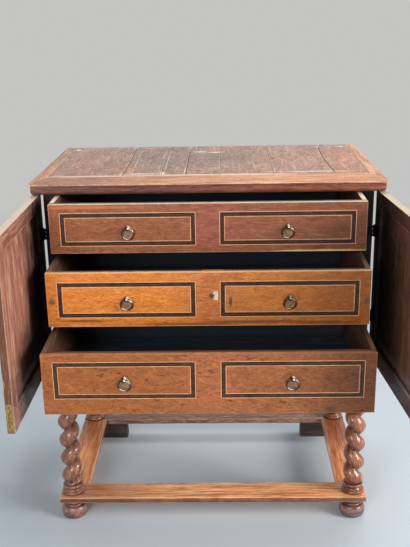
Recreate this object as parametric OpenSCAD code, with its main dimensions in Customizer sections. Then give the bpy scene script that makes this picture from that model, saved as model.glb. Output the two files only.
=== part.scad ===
// A cabinet on a stand with corkscrew-turned legs. Two panelled doors stand open
// and three inlaid drawers are pulled out. Lengths are in millimetres.
// The cabinet is drawn with X from its middle, Y from the front edge of its top
// and Z from the floor. set_down() then moves it over the middle of its footprint.

/* [Top] */
// Width of the top board
top_w = 1008; // [980:2:1040]
// Depth of the top board
top_d = 600; // [590:2:640]
// Thickness of the planks
plank_t = 16; // [12:1:22]
// Thickness of the lip over the moulding
lip_t = 5; // [4:0.5:10]
// How far the lip stands out past the moulding
lip_reach = 7.5; // [4:0.5:12]
// Depth of the front border
front_border_w = 120; // [90:2:130]
// Width of the side borders
side_border_w = 38; // [30:1:60]
// Open crack between two planks
board_gap = 0.8; // [0.4:0.1:0.9]
// Height of the moulding under the lip
cornice_h = 27; // [20:1:30]
// Rounding along the moulding's lower edge
cornice_round = 11; // [6:1:14]

/* [Case] */
// From a side of the top in to the case
side_overhang = 33; // [26:1:40]
// From the top's front edge back to the case
front_overhang = 50; // [46:1:60]
// From the top's back edge in to the case
back_overhang = 15; // [8:1:20]
// Thickness of the case sides
side_t = 20; // [16:1:24]
// Width of the front stiles
stile_w = 40; // [32:1:44]
// Thickness of the front stiles
stile_t = 22; // [18:1:26]
// Thickness of the case bottom
bottom_t = 22; // [18:1:26]
// Thickness of the back boards
back_t = 12; // [8:1:14]
// Thickness of the rails between the drawers
rail_t = 22; // [18:1:26]
// Depth of the rails between the drawers
rail_d = 60; // [45:1:80]
// Height of the rail over the drawers
top_rail_h = 16.5; // [14:0.5:24]
// Depth of the rail over the drawers
top_rail_d = 85; // [80:1:120]
// Width of a runner's ledge
runner_w = 46; // [34:1:50]
// Height of the guide on a runner
guide_h = 15; // [10:1:20]

/* [Drawers] */
// Height of the top drawer's front
drawer_1_h = 136.5; // [125:0.5:145]
// Height of the middle drawer's front
drawer_2_h = 151; // [140:0.5:160]
// Height of the bottom drawer's front
drawer_3_h = 169; // [160:0.5:180]
// How far the top drawer is pulled out
drawer_1_out = 157; // [0:1:400]
// How far the middle drawer is pulled out
drawer_2_out = 258; // [0:1:400]
// How far the bottom drawer is pulled out
drawer_3_out = 388; // [300:1:400]
// Thickness of a drawer front
front_t = 22; // [20:0.5:24]
// Thickness of a drawer's sides and back
box_t = 12; // [10:0.5:14]
// Thickness of a drawer bottom
drawer_bottom_t = 8; // [6:0.5:10]
// Height of the bottom board above the drawer's lower edge
drawer_bottom_up = 6; // [4:0.5:10]
// Length of a drawer's sides behind its front
drawer_len = 470; // [440:2:474]
// How far a shut drawer stands behind the case front
set_back = 12; // [11:0.5:14]
// Gap at each end of a drawer
drawer_gap = 2; // [1:0.1:3]
// Running gap under a drawer
drawer_lift = 0.3; // [0.2:0.1:0.6]
// Gap over a drawer
head_gap = 1.7; // [1:0.1:3]
// Depth of the grooves and the length of the dovetails
tail_len = 14; // [10:0.5:16]
// Depth of the groove for the bottom board
groove = 5; // [4:0.5:6]

/* [Inlay] */
// Width of the dark band
band_w = 11.2; // [7:0.1:12]
// Width of a light string
string_w = 1.3; // [1.2:0.1:3]
// Depth of the inlay
inlay_t = 1.2; // [0.8:0.1:2]
// From a front's end to the inlay
inlay_end = 29; // [24:0.5:36]
// Between a drawer's two inlaid frames
inlay_between = 65; // [60:1:80]
// Above the inlay on each front, from the top drawer down
inlay_above = [23.5, 25.5, 21];
// Below the inlay on each front, from the top drawer down
inlay_below = [20, 25.5, 44];

/* [Ring pulls] */
// Radius of a ring, to the middle of its wire
ring_r = 16; // [15:0.5:18]
// Thickness of the ring's wire
wire_d = 4.2; // [3:0.1:4.4]
// Width of the ball that holds the ring
ball_d = 11; // [10:0.5:12]
// From the drawer front out to the ring's pivot
pull_out = 11; // [10:0.25:11.5]
// The pivot's height above the middle of the inlaid frame
pull_up = 3.5; // [0:0.5:8]
// Radius of the round part of a pull's plate
plate_r = 16.5; // [14:0.5:18]
// From the middle of the plate's round part up to its point
plate_peak = 24; // [20:0.5:27]
// From the pivot down to the middle of the plate's round part
plate_drop = 14.5; // [12:0.5:16]
// Thickness of a pull's plate
plate_t = 1.4; // [1:0.1:2]
// Width of the shank that goes through the drawer front
shank_d = 5; // [4:0.5:6]

/* [Drawer lock] */
// The lock's distance to the right of the middle
lock_x = 14; // [10:1:16]
// The keyhole's depth below the drawer's upper edge
keyhole_down = 65; // [50:1:72]
// Width of the lock case
lock_w = 56; // [40:1:70]
// Height of the lock case
lock_h = 84; // [76:1:90]
// Thickness of the lock case
lock_t = 12; // [11:0.5:14]
// Width of the lock's bolt
lock_bolt_w = 22; // [16:1:30]
// Radius of the keyhole
key_r = 2.5; // [2:0.1:3.5]
// Travel of the lock's bolt
lock_throw = 8; // [6:0.5:9]

/* [Doors] */
// Thickness of a door
leaf_t = 20; // [18:0.5:20]
// Gap between a shut door and the case
leaf_gap = 1.5; // [1.5:0.1:2]
// Gap over a door
leaf_head_gap = 2; // [1:0.5:4]
// Gap under a door
leaf_foot_gap = 3; // [2:0.5:5]
// Gap where the two doors meet
meeting_gap = 2; // [1:0.5:4]
// Width of a door's upright stiles
leaf_stile_w = 48; // [42:1:60]
// Height of a door's upper rail
leaf_head_w = 40; // [34:1:50]
// Height of a door's lower rail
leaf_foot_w = 50; // [40:1:60]
// Thickness of the panel's tongue
tongue_t = 6; // [5:0.5:7]
// Depth of the panel's groove
panel_groove = 8; // [6:0.5:10]
// Width of the panel's sloping margin
margin_w = 38; // [25:1:50]
// How far the panel's field rises from its tongue
field_rise = 3.5; // [2:0.5:4]
// Angle by which the left door stands open
left_open = 90.7; // [90:0.1:100]
// Angle by which the right door stands open
right_open = 95; // [90:0.1:100]

/* [Hinges and bolts] */
// Height of a hinge
hinge_h = 32; // [28:1:40]
// From a door's end to the middle of its hinge
hinge_in = 122; // [90:1:140]
// Width of a hinge's knuckles
knuckle_d = 8.4; // [8:0.1:9]
// Width of a hinge's pin
pin_d = 3.5; // [3.2:0.1:4]
// From the case's side out to the pin
pin_out = 4.6; // [4.6:0.1:8]
// Width of a hinge plate
hinge_plate_w = 22; // [16:1:30]
// Thickness of a hinge plate
hinge_plate_t = 1.4; // [1.2:0.1:1.4]
// Length of a flush bolt's plate
bolt_plate_h = 80; // [60:1:90]
// Width of a flush bolt's plate
bolt_plate_w = 12; // [10:0.5:14]
// Thickness of a flush bolt's plate
bolt_plate_t = 1.5; // [1:0.1:2]
// Width of a flush bolt
bolt_w = 7; // [5:0.5:8]
// Thickness of a flush bolt
bolt_t = 6; // [4:0.5:7]
// Travel of a flush bolt
bolt_throw = 10; // [6:0.5:12]

/* [Stand] */
// Height of the stand
stand_h = 555; // [530:5:600]
// How far the stretchers reach past the case's sides
stand_out = 20; // [18:1:28]
// From the top's front edge back to the stand
stand_front = 25; // [15:1:35]
// Height of the feet
foot_h = 67; // [55:1:80]
// Width of a bun foot
bun_d = 83; // [70:1:86]
// Length of a block foot
block_foot_l = 160; // [120:2:180]
// Depth of a block foot
block_foot_d = 44; // [36:1:56]
// Thickness of the stretchers
stretcher_t = 20; // [16:1:26]
// Width of the front stretcher
front_stretcher_w = 88; // [80:1:96]
// Width of the side stretchers
side_stretcher_w = 86; // [78:1:96]
// Width of the back stretcher
back_stretcher_w = 59; // [50:1:70]
// From a side of the stand in to a leg's middle
leg_in = 38; // [36:0.5:42]
// From the front of the stand back to a leg's middle
leg_front_in = 45; // [42:0.5:50]
// From the back of the stand forward to a leg's middle
leg_back_in = 35; // [32:0.5:40]
// Width of the square block at a leg's head
block_w = 62; // [56:1:66]
// Height of the square block at a leg's head
block_h = 90; // [80:1:110]
// Width of the stand's aprons
apron_h = 87; // [70:1:100]
// Thickness of the aprons
apron_t = 22; // [18:1:26]
// How far the aprons stand in from the blocks
apron_in = 4; // [2:0.5:8]
// Height of the waist moulding
waist_h = 19; // [14:1:19]
// From the top's front edge back to the waist moulding
waist_front = 30; // [28:1:36]
// How far the waist moulding stands out from the case's sides
waist_out = 20; // [14:1:24]

/* [Turning] */
// Rise of the corkscrew in one turn
pitch = 64; // [56:1:76]
// Radius of the corkscrew over its strand
bulge_r = 33; // [30:0.5:35]
// Radius of the corkscrew down in its groove
groove_r = 13.5; // [11:0.5:20]
// Radius of the large bead at the leg's base
base_bead_r = 35.5; // [34:0.5:38]
// Radius of the small beads beside the corkscrew
collar_r = 30.5; // [28:0.5:33]
// Radius of the neck between two beads
neck_r = 25; // [20:0.5:27]
// Radius of the tenon under a leg
tenon_r = 12; // [9:0.5:15]

/* [Hidden] */
$fn = 96;

// Clearances and small details
glue = 0.1;
slide_fit = 0.3;
panel_float = 0.5;
ring_slack = 0.9;
ring_rest = 0.4;
keeper_slack = 1;
pin_fit = 0.05;
eps = 0.01;
knuckles = 5;
knuckle_gap = 0.3;
strand_sides = 24;
twist_steps = 10;

// Heights
case_z = stand_h;
floor_z = case_z + bottom_t;
drawer_h = [drawer_1_h, drawer_2_h, drawer_3_h];
drawer_out = [drawer_1_out, drawer_2_out, drawer_3_out];
drawer_3_z = floor_z + drawer_lift;
rail_2_z = drawer_3_z + drawer_3_h + head_gap;
drawer_2_z = rail_2_z + rail_t + drawer_lift;
rail_1_z = drawer_2_z + drawer_2_h + head_gap;
drawer_1_z = rail_1_z + rail_t + drawer_lift;
top_rail_z = drawer_1_z + drawer_1_h + head_gap;
case_top = top_rail_z + top_rail_h;
drawer_z = [drawer_1_z, drawer_2_z, drawer_3_z];
lip_z = case_top + plank_t - lip_t;
cornice_z = lip_z - cornice_h;
leaf_top = cornice_z - leaf_head_gap;
leaf_z = case_z + waist_h + leaf_foot_gap;
leaf_h = leaf_top - leaf_z;
stretcher_z = foot_h + stretcher_t;
block_z = stand_h - block_h;

// Depths
case_y = front_overhang;
case_back = top_d - back_overhang;
side_y = case_y + stile_t;
back_y = case_back - back_t;
front_y = case_y + set_back;
pin_y = case_y - leaf_gap / 2;
leaf_back = case_y - leaf_gap;
leaf_y = leaf_back - leaf_t;
stand_back = top_d;
leg_y = [stand_front + leg_front_in, stand_back - leg_back_in];
side_run = [stand_front + front_stretcher_w, stand_back - back_stretcher_w];

// Half widths
half_top = top_w / 2;
half_case = half_top - side_overhang;
half_in = half_case - side_t;
half_open = half_case - stile_w;
half_front = half_open - drawer_gap;
half_box = half_front - box_t;
half_stand = half_case + stand_out;
leg_x = half_stand - leg_in;
pin_x = half_case + pin_out;
plate_end = pin_x - knuckle_d / 2 - knuckle_gap;
leaf_w = half_case - meeting_gap / 2;

// The middle of the open cabinet's footprint
leaf_swing = pin_x - meeting_gap / 2;
leaf_out = pin_y - leaf_y;
right_reach = pin_x - leaf_swing * cos(right_open) + leaf_out * sin(right_open);
left_reach = max(half_top, pin_x - leaf_swing * cos(left_open) + leaf_out * sin(left_open));
front_reach = leaf_swing * sin(left_open) - pin_y;
middle_x = (right_reach - left_reach) / 2;
middle_y = (top_d - front_reach) / 2;

// The planks' joints, as shares of the width between the side borders
plank_joints = [0, 0.23, 0.353, 0.429, 0.536, 0.705, 0.898, 1];

// Puts the drawn cabinet over the middle of its footprint
module set_down() {
    translate([-middle_x, -middle_y, 0]) children();
}

// Draws its children and their mirror image across the middle
module both_sides() {
    children();
    mirror([1, 0, 0]) children();
}

// A box between two corners
module block(low, high) {
    translate(low) cube(high - low);
}

// A bead turned round an upright axis
module bead(r, h, z) {
    translate([0, 0, z]) cylinder(r = r - h / 2, h = h);
    translate([0, 0, z + h / 2]) rotate_extrude() translate([r - h / 2, 0]) circle(h / 2);
}

// An upright moulding's section: X runs in from its outer edge, Y runs up
module round_edge_section(depth, h, r) {
    translate([0, r]) square([depth, h - r]);
    translate([r, 0]) square([depth - r, h]);
    translate([r, r]) circle(r);
}

module waist_section(depth) {
    difference() {
        square([depth, waist_h]);
        translate([0, waist_h]) circle(waist_h * 0.62);
    }
}

// Three lengths of moulding, mitred round the front of the case.
// The children are the section, drawn with X running in from its outer edge.
module mitred_moulding(outer_x, outer_y, inner_x, inner_y, end_y, z, h) {
    mitre = outer_x - inner_x;
    set_down() {
        intersection() {
            translate([-outer_x, outer_y, z]) rotate([90, 0, 90]) linear_extrude(2 * outer_x) children(0);
            translate([0, 0, z - eps]) linear_extrude(h + 2 * eps) polygon([
                [-outer_x, outer_y], [outer_x, outer_y],
                [inner_x, outer_y + mitre], [inner_x, inner_y],
                [-inner_x, inner_y], [-inner_x, outer_y + mitre]]);
        }
        both_sides() intersection() {
            translate([outer_x, end_y, z]) mirror([1, 0, 0]) rotate([90, 0, 0])
                linear_extrude(end_y - outer_y) children(1);
            translate([0, 0, z - eps]) linear_extrude(h + 2 * eps) polygon([
                [outer_x, outer_y], [outer_x, end_y],
                [inner_x, end_y], [inner_x, outer_y + mitre]]);
        }
    }
}

// Stand

module bun_foot() {
    squash = foot_h * 0.6;
    difference() {
        union() {
            translate([0, 0, squash / 2]) rotate_extrude()
                translate([bun_d / 2 - squash / 2, 0]) circle(squash / 2);
            cylinder(r = bun_d / 2 - squash / 2, h = squash);
            translate([0, 0, squash - eps]) cylinder(r1 = bun_d * 0.36, r2 = bun_d * 0.3, h = foot_h * 0.12);
            cylinder(r = bun_d * 0.3, h = foot_h - 9);
            bead(bun_d * 0.4, 9, foot_h - 9);
        }
        translate([0, 0, foot_h / 2]) cylinder(r = tenon_r + glue, h = foot_h);
    }
}

module bun_feet() {
    color([0.17, 0.08, 0.05]) set_down() both_sides() translate([leg_x, leg_y[0], 0]) bun_foot();
}

module block_feet() {
    color([0.09, 0.06, 0.05]) set_down() both_sides() difference() {
        block([half_stand - block_foot_l, stand_back - block_foot_d, 0], [half_stand - 3, stand_back - 2, foot_h]);
        translate([leg_x, leg_y[1], foot_h / 2]) cylinder(r = tenon_r + glue, h = foot_h);
    }
}

module tenon_holes(y) {
    both_sides() translate([leg_x, y, foot_h - 1]) cylinder(r = tenon_r + glue, h = stretcher_t + 2);
}

module stretcher_front() {
    color([0.36, 0.17, 0.08]) set_down() difference() {
        block([-half_stand, stand_front, foot_h], [half_stand, side_run[0], stretcher_z]);
        tenon_holes(leg_y[0]);
    }
}

module stretcher_back() {
    color([0.36, 0.17, 0.08]) set_down() difference() {
        block([-half_stand, side_run[1], foot_h], [half_stand, stand_back, stretcher_z]);
        tenon_holes(leg_y[1]);
    }
}

module stretcher_sides() {
    color([0.36, 0.17, 0.08]) set_down() both_sides()
        block([half_stand - side_stretcher_w, side_run[0], foot_h], [half_stand, side_run[1], stretcher_z]);
}

// The corkscrew's radius at an angle from the strand's crest. The groove lies opposite.
function strand_r(a) = groove_r + (bulge_r - groove_r) * (1 - pow(a / 180, 2));

module strand_plan() {
    polygon([for (i = [0 : strand_sides - 1]) let (a = -180 + i * 360 / strand_sides)
        strand_r(a) * [cos(a), sin(a)]]);
}

// One leg, from the tenon through the stretcher up to the square block.
// hand is 1 where the strand rises to the right at the front. The strand lies at
// the angle start where the corkscrew begins.
module leg(hand, start) {
    twist_z = stretcher_z + 34;
    twist_end = block_z - 24;
    twist_h = twist_end - twist_z;
    translate([0, 0, foot_h / 2 + 2]) cylinder(r = tenon_r, h = stretcher_z - foot_h / 2);
    bead(base_bead_r, 14, stretcher_z);
    translate([0, 0, stretcher_z + 13]) cylinder(r = neck_r, h = 13);
    bead(collar_r, 10, twist_z - 9);
    translate([0, 0, twist_z]) rotate([0, 0, start])
        linear_extrude(twist_h, twist = -hand * 360 * twist_h / pitch,
                slices = round(twist_h / pitch * twist_steps), $fn = strand_sides)
            strand_plan();
    bead(collar_r, 10, twist_end - 1);
    translate([0, 0, twist_end + 8]) cylinder(r = neck_r, h = 9);
    bead(base_bead_r - 3, 9, block_z - 9);
    block([-block_w / 2, -block_w / 2, block_z], [block_w / 2, block_w / 2, stand_h]);
}

module standing_leg(side, row, start) {
    color([0.2, 0.09, 0.05]) set_down() translate([side * leg_x, leg_y[row], 0]) leg(-side, start);
}

module leg_front_left() {
    standing_leg(-1, 0, 33);
}

module leg_front_right() {
    standing_leg(1, 0, 29);
}

module leg_back_left() {
    standing_leg(-1, 1, 75);
}

module leg_back_right() {
    standing_leg(1, 1, 105);
}

module apron_front() {
    half = leg_x - block_w / 2;
    y = leg_y[0] - block_w / 2 + apron_in;
    color([0.3, 0.13, 0.06]) set_down() block([-half, y, stand_h - apron_h], [half, y + apron_t, stand_h]);
}

module apron_back() {
    half = leg_x - block_w / 2;
    y = leg_y[1] + block_w / 2 - apron_in;
    color([0.3, 0.13, 0.06]) set_down() block([-half, y - apron_t, stand_h - apron_h], [half, y, stand_h]);
}

module apron_sides() {
    x = leg_x + block_w / 2 - apron_in;
    color([0.3, 0.13, 0.06]) set_down() both_sides()
        block([x - apron_t, leg_y[0] + block_w / 2, stand_h - apron_h], [x, leg_y[1] - block_w / 2, stand_h]);
}

// The keepers are the two pockets that take the left door's bolts when it is shut
module keepers() {
    y = leaf_y + leaf_t / 2;
    near = -meeting_gap / 2 - bolt_plate_t + keeper_slack;
    far = near - bolt_t - 2 * keeper_slack;
    half = bolt_w / 2 + keeper_slack;
    deep = bolt_throw + 2 * keeper_slack;
    block([far, y - half, leaf_z - deep], [near, y + half, leaf_z]);
    block([far, y - half, leaf_top], [near, y + half, leaf_top + deep]);
}

module waist_moulding() {
    color([0.24, 0.11, 0.06]) difference() {
        mitred_moulding(half_case + waist_out, waist_front, half_case + glue, case_y - glue,
                case_back, case_z, waist_h) {
            waist_section(case_y - waist_front);
            waist_section(waist_out);
        }
        set_down() keepers();
    }
}

// Case

module case_sides() {
    color([0.28, 0.13, 0.07]) set_down() both_sides()
        block([half_in, side_y, case_z], [half_case, case_back, case_top]);
}

// The plan of a board that fits between the sides and, at the front, between the stiles
module inside_plan(end_y) {
    translate([-half_open, case_y]) square([2 * half_open, end_y - case_y]);
    translate([-half_in, side_y]) square([2 * half_in, end_y - side_y]);
}

module case_bottom() {
    color([0.26, 0.13, 0.07]) set_down() translate([0, 0, case_z]) linear_extrude(bottom_t) inside_plan(back_y);
}

// The back is four upright boards
module case_back() {
    boards = 4;
    w = 2 * half_in / boards;
    color([0.24, 0.14, 0.08]) set_down() for (i = [0 : boards - 1])
        block([-half_in + i * w + board_gap / 2, back_y, case_z],
              [-half_in + (i + 1) * w - board_gap / 2, case_back, case_top]);
}

module front_stiles() {
    color([0.2, 0.09, 0.05]) set_down() both_sides() difference() {
        block([half_open, case_y, case_z], [half_case, side_y, case_top]);
        for (z = [leaf_z + hinge_in, leaf_top - hinge_in])
            block([half_case - hinge_plate_w - glue, case_y - 1, z - hinge_h / 2 - glue],
                  [half_case + 1, pin_y + hinge_plate_t + 2 * glue, z + hinge_h / 2 + glue]);
    }
}

module front_rails() {
    color([0.22, 0.1, 0.06]) set_down() difference() {
        union() {
            translate([0, 0, rail_2_z]) linear_extrude(rail_t) inside_plan(case_y + rail_d);
            translate([0, 0, rail_1_z]) linear_extrude(rail_t) inside_plan(case_y + rail_d);
            translate([0, 0, top_rail_z]) linear_extrude(top_rail_h) inside_plan(case_y + top_rail_d);
        }
        lock_mortise();
    }
}

// The pocket in the rail that takes the lock's bolt when the middle drawer is shut
module lock_mortise() {
    half = lock_bolt_w / 2 + 1;
    y = front_y + front_t - lock_t / 2;
    block([lock_x - half, y - 5, rail_1_z - 1], [lock_x + half, y + 5, rail_1_z + lock_throw]);
}

module runner(z) {
    front = case_y + rail_d;
    block([half_in - runner_w, front, z - rail_t], [half_in, back_y, z]);
    block([half_open, front, z - rail_t], [half_in, back_y, z + guide_h]);
}

module drawer_runners() {
    color([0.33, 0.2, 0.12]) set_down() both_sides() {
        runner(rail_1_z + rail_t);
        runner(rail_2_z + rail_t);
        block([half_open, side_y, floor_z], [half_in, back_y, floor_z + guide_h]);
    }
}

// Top

// A piece of the top from its plan: the lip layer, and the layer that lies on the case
module top_piece() {
    translate([0, 0, lip_z]) linear_extrude(lip_t) children();
    translate([0, 0, case_top]) linear_extrude(plank_t - lip_t) intersection() {
        children();
        translate([-half_case, case_y]) square([2 * half_case, case_back - case_y]);
    }
}

module front_border_plan() {
    polygon([[-half_top, 0], [half_top, 0],
        [half_top - side_border_w, front_border_w], [side_border_w - half_top, front_border_w]]);
}

module side_border_plan() {
    polygon([[half_top, 0], [half_top, top_d],
        [half_top - side_border_w, top_d], [half_top - side_border_w, front_border_w]]);
}

module top_border_front() {
    color([0.42, 0.22, 0.13]) set_down() top_piece() front_border_plan();
}

module top_border_sides() {
    color([0.4, 0.21, 0.13]) set_down() both_sides() top_piece() side_border_plan();
}

module top_planks() {
    half = half_top - side_border_w;
    color([0.32, 0.2, 0.16]) set_down() for (i = [0 : len(plank_joints) - 2]) {
        x = -half + 2 * half * plank_joints[i];
        w = 2 * half * (plank_joints[i + 1] - plank_joints[i]);
        top_piece() translate([x + board_gap / 2, front_border_w + board_gap / 2])
            square([w - board_gap, top_d - front_border_w - board_gap / 2]);
    }
}

module cornice_moulding() {
    outer_x = half_top - lip_reach;
    color([0.25, 0.11, 0.08]) difference() {
        mitred_moulding(outer_x, lip_reach, half_case, case_y, case_back, cornice_z, cornice_h) {
            round_edge_section(case_y - lip_reach, cornice_h, cornice_round);
            round_edge_section(outer_x - half_case, cornice_h, cornice_round);
        }
        set_down() keepers();
    }
}

// Drawers

// Draws its children where drawer i stands, with Y from the front's face and Z
// from its lower edge
module drawn(i) {
    set_down() translate([0, front_y - drawer_out[i], drawer_z[i]]) children();
}

// The dovetails that run from a drawer side into the end of its front
module dovetails(h, count) {
    step = h / count;
    wide = step * 0.6;
    narrow = step * 0.4;
    for (k = [0 : count - 1])
        translate([half_box, front_t, (k + 0.5) * step]) rotate([0, -90, 180]) linear_extrude(box_t)
            polygon([[-narrow / 2, 0], [narrow / 2, 0], [wide / 2, tail_len], [-wide / 2, tail_len]]);
}

module drawer_bottom_board(spare) {
    block([-half_box - groove - spare, front_t - groove - spare, drawer_bottom_up - spare],
          [half_box + groove + spare, front_t + drawer_len - box_t / 2, drawer_bottom_up + drawer_bottom_t + spare]);
}

// The area inside one inlaid frame, drawn in by inset
module frame_area(i, inset) {
    low = inlay_below[i] + inset;
    high = drawer_h[i] - inlay_above[i] - inset;
    near = inlay_between / 2 + inset;
    far = half_front - inlay_end - inset;
    translate([near, low]) square([far - near, high - low]);
}

// One frame of the inlay: light string, dark band, light string
module inlay_ring(i, inset, w) {
    difference() {
        frame_area(i, inset);
        frame_area(i, inset + w);
    }
}

module inlay_shape(i, inset, w) {
    both_sides() translate([0, inlay_t, 0]) rotate([90, 0, 0]) linear_extrude(inlay_t) inlay_ring(i, inset, w);
}

// A ring leans until its lower edge rests on the plate
ring_lean = asin((pull_out - wire_d / 2 - plate_t - ring_rest) / (2 * ring_r));

function pull_x() = (inlay_between / 2 + half_front - inlay_end) / 2;
function pull_z(i) = (inlay_below[i] + drawer_h[i] - inlay_above[i]) / 2 + pull_up;

// The shank goes through a bore in the drawer front
module pull_bores(i) {
    both_sides() translate([pull_x(), -1, pull_z(i)]) rotate([-90, 0, 0]) cylinder(d = shank_d + 2 * glue, h = front_t + 2);
}

module keyhole(z, h) {
    translate([lock_x, -3, z]) rotate([-90, 0, 0]) cylinder(r = key_r, h = h);
    block([lock_x - key_r * 0.4, -3, z - key_r * 3.2], [lock_x + key_r * 0.4, h - 3, z]);
}

// The lock's case is let into the back of the drawer front
module lock_space(spare) {
    half = lock_w / 2 + spare;
    top = drawer_2_h;
    block([lock_x - half, front_t - lock_t - spare, top - lock_h - spare], [lock_x + half, front_t + spare, top + spare]);
}

module drawer_front(i) {
    color([0.55, 0.28, 0.12]) drawn(i) difference() {
        block([-half_front, 0, 0], [half_front, front_t, drawer_h[i]]);
        both_sides() dovetails(drawer_h[i], i + 3);
        drawer_bottom_board(glue);
        inlay_shape(i, 0, 2 * string_w + band_w);
        pull_bores(i);
        if (i == 1) {
            lock_space(glue);
            keyhole(drawer_2_h - keyhole_down, front_t);
        }
    }
}

module drawer_box(i) {
    end = front_t + drawer_len;
    color([0.45, 0.27, 0.15]) drawn(i) {
        both_sides() difference() {
            union() {
                block([half_box, front_t, 0], [half_front, end, drawer_h[i]]);
                dovetails(drawer_h[i], i + 3);
            }
            drawer_bottom_board(glue);
        }
        block([-half_box, end - box_t, drawer_bottom_up + drawer_bottom_t + glue],
              [half_box, end, drawer_h[i] - 6]);
    }
}

module drawer_bottom(i) {
    color([0.4, 0.27, 0.17]) drawn(i) drawer_bottom_board(0);
}

module drawer_inlay(i) {
    color([0.72, 0.5, 0.3]) drawn(i) {
        inlay_shape(i, 0, string_w);
        inlay_shape(i, string_w + band_w, string_w);
    }
    color([0.16, 0.11, 0.08]) drawn(i) inlay_shape(i, string_w, band_w);
}

// A disc whose edge runs on in two straight lines to a point above
module pointed_disc() {
    a = asin(plate_r / plate_peak);
    touch = plate_r * [cos(a), sin(a)];
    circle(plate_r);
    polygon([[0, 0], touch, [0, plate_peak], [-touch[0], touch[1]]]);
}

// A round plate with a point above, and a ball on a shank. The ball's cross bore holds the ring.
module pull_plate() {
    hole = wire_d / 2 + ring_slack;
    shank_start = pull_out - ball_d * 0.3;
    boss = ball_d * 0.55;
    difference() {
        union() {
            translate([0, 0, -plate_drop]) rotate([90, 0, 0]) linear_extrude(plate_t) pointed_disc();
            translate([0, -plate_t * 0.7, 0]) rotate([90, 0, 0])
                cylinder(r1 = boss, r2 = boss * 0.7, h = pull_out - ball_d / 2 - plate_t / 2);
            translate([0, -pull_out, 0]) rotate([90, 0, 0]) rotate([0, 0, 45]) sphere(d = ball_d);
            translate([0, -shank_start, 0]) rotate([-90, 0, 0]) cylinder(d = shank_d, h = shank_start + front_t + shank_d * 0.3);
        }
        translate([0, -pull_out, 0]) rotate([0, 90, 0]) cylinder(r = hole, h = ball_d + 2, center = true);
    }
}

module pull_plates(i) {
    color([0.42, 0.38, 0.32]) drawn(i) both_sides() translate([pull_x(), 0, pull_z(i)]) pull_plate();
}

module ring(i, side) {
    color([0.4, 0.36, 0.3]) drawn(i) translate([side * pull_x(), -pull_out, pull_z(i)])
        rotate([ring_lean, 0, 0]) translate([0, 0, -ring_r])
            rotate([90, 0, 0]) rotate_extrude() translate([ring_r, 0]) circle(d = wire_d);
}

module drawer_1_front() { drawer_front(0); }
module drawer_2_front() { drawer_front(1); }
module drawer_3_front() { drawer_front(2); }
module drawer_1_box() { drawer_box(0); }
module drawer_2_box() { drawer_box(1); }
module drawer_3_box() { drawer_box(2); }
module drawer_1_bottom() { drawer_bottom(0); }
module drawer_2_bottom() { drawer_bottom(1); }
module drawer_3_bottom() { drawer_bottom(2); }
module drawer_1_inlay() { drawer_inlay(0); }
module drawer_2_inlay() { drawer_inlay(1); }
module drawer_3_inlay() { drawer_inlay(2); }
module drawer_1_pull_plates() { pull_plates(0); }
module drawer_2_pull_plates() { pull_plates(1); }
module drawer_3_pull_plates() { pull_plates(2); }
module ring_1_left() { ring(0, -1); }
module ring_1_right() { ring(0, 1); }
module ring_2_left() { ring(1, -1); }
module ring_2_right() { ring(1, 1); }
module ring_3_left() { ring(2, -1); }
module ring_3_right() { ring(2, 1); }

// A pale shield plate, pointed to the left, with the keyhole in it
module escutcheon() {
    z = drawer_2_h - keyhole_down;
    color([0.75, 0.7, 0.6]) drawn(1) difference() {
        translate([lock_x, 0, z]) rotate([90, 0, 0]) linear_extrude(1.2)
            polygon([[13, -13], [13, 13], [2, 11], [-7, 6], [-13, 0], [-7, -6], [2, -11]]);
        keyhole(z, 5);
    }
}

// The bolt's channel opens at the top of the lock
module bolt_channel(spare) {
    half = lock_bolt_w / 2 + spare;
    y = front_t - lock_t / 2;
    top = drawer_2_h;
    block([lock_x - half, y - 3.5 - spare, top - 30 - spare], [lock_x + half, y + 3.5 + spare, top + spare * 2]);
}

module drawer_lock() {
    color([0.3, 0.27, 0.22]) drawn(1) difference() {
        lock_space(0);
        bolt_channel(slide_fit);
        keyhole(drawer_2_h - keyhole_down, front_t);
    }
}

module lock_bolt() {
    color([0.5, 0.46, 0.4]) drawn(1) bolt_channel(0);
}

// Doors

// Swings a shut right-hand door about its hinge pin
module swing(angle) {
    translate([pin_x, pin_y, 0]) rotate([0, 0, angle]) translate([-pin_x, -pin_y, 0]) children();
}

// Hangs a shut right-hand door on one side of the case, opened as in the photograph
module hung(side) {
    set_down() {
        if (side > 0) swing(right_open) children();
        if (side < 0) mirror([1, 0, 0]) swing(left_open) children();
    }
}

module hinge_heights() {
    for (z = [leaf_z + hinge_in, leaf_top - hinge_in]) translate([0, 0, z - hinge_h / 2]) children();
}

// The panel, with a tongue all round. Its field rises over a sloping margin on both faces.
module panel_body(spare, float) {
    reach = panel_groove - float;
    low = [meeting_gap / 2 + leaf_stile_w - reach, leaf_z + leaf_foot_w - reach];
    high = [half_case - leaf_stile_w + reach, leaf_top - leaf_head_w + reach];
    y = leaf_y + leaf_t / 2;
    block([low[0], y - tongue_t / 2 - spare, low[1]], [high[0], y + tongue_t / 2 + spare, high[1]]);
}

module panel_field() {
    low = [meeting_gap / 2 + leaf_stile_w + 2, leaf_z + leaf_foot_w + 2];
    high = [half_case - leaf_stile_w - 2, leaf_top - leaf_head_w - 2];
    y = leaf_y + leaf_t / 2;
    edge = tongue_t / 2;
    field = edge + field_rise;
    hull() {
        block([low[0], y - edge, low[1]], [high[0], y + edge, high[1]]);
        block([low[0] + margin_w, y - field, low[1] + margin_w],
              [high[0] - margin_w, y + field, high[1] - margin_w]);
    }
}

// The left door's meeting edge carries a flush bolt at its foot and at its head
module bolt_places() {
    translate([meeting_gap / 2, leaf_y + leaf_t / 2, leaf_z]) children();
    translate([meeting_gap / 2, leaf_y + leaf_t / 2, leaf_top]) mirror([0, 0, 1]) children();
}

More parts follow.
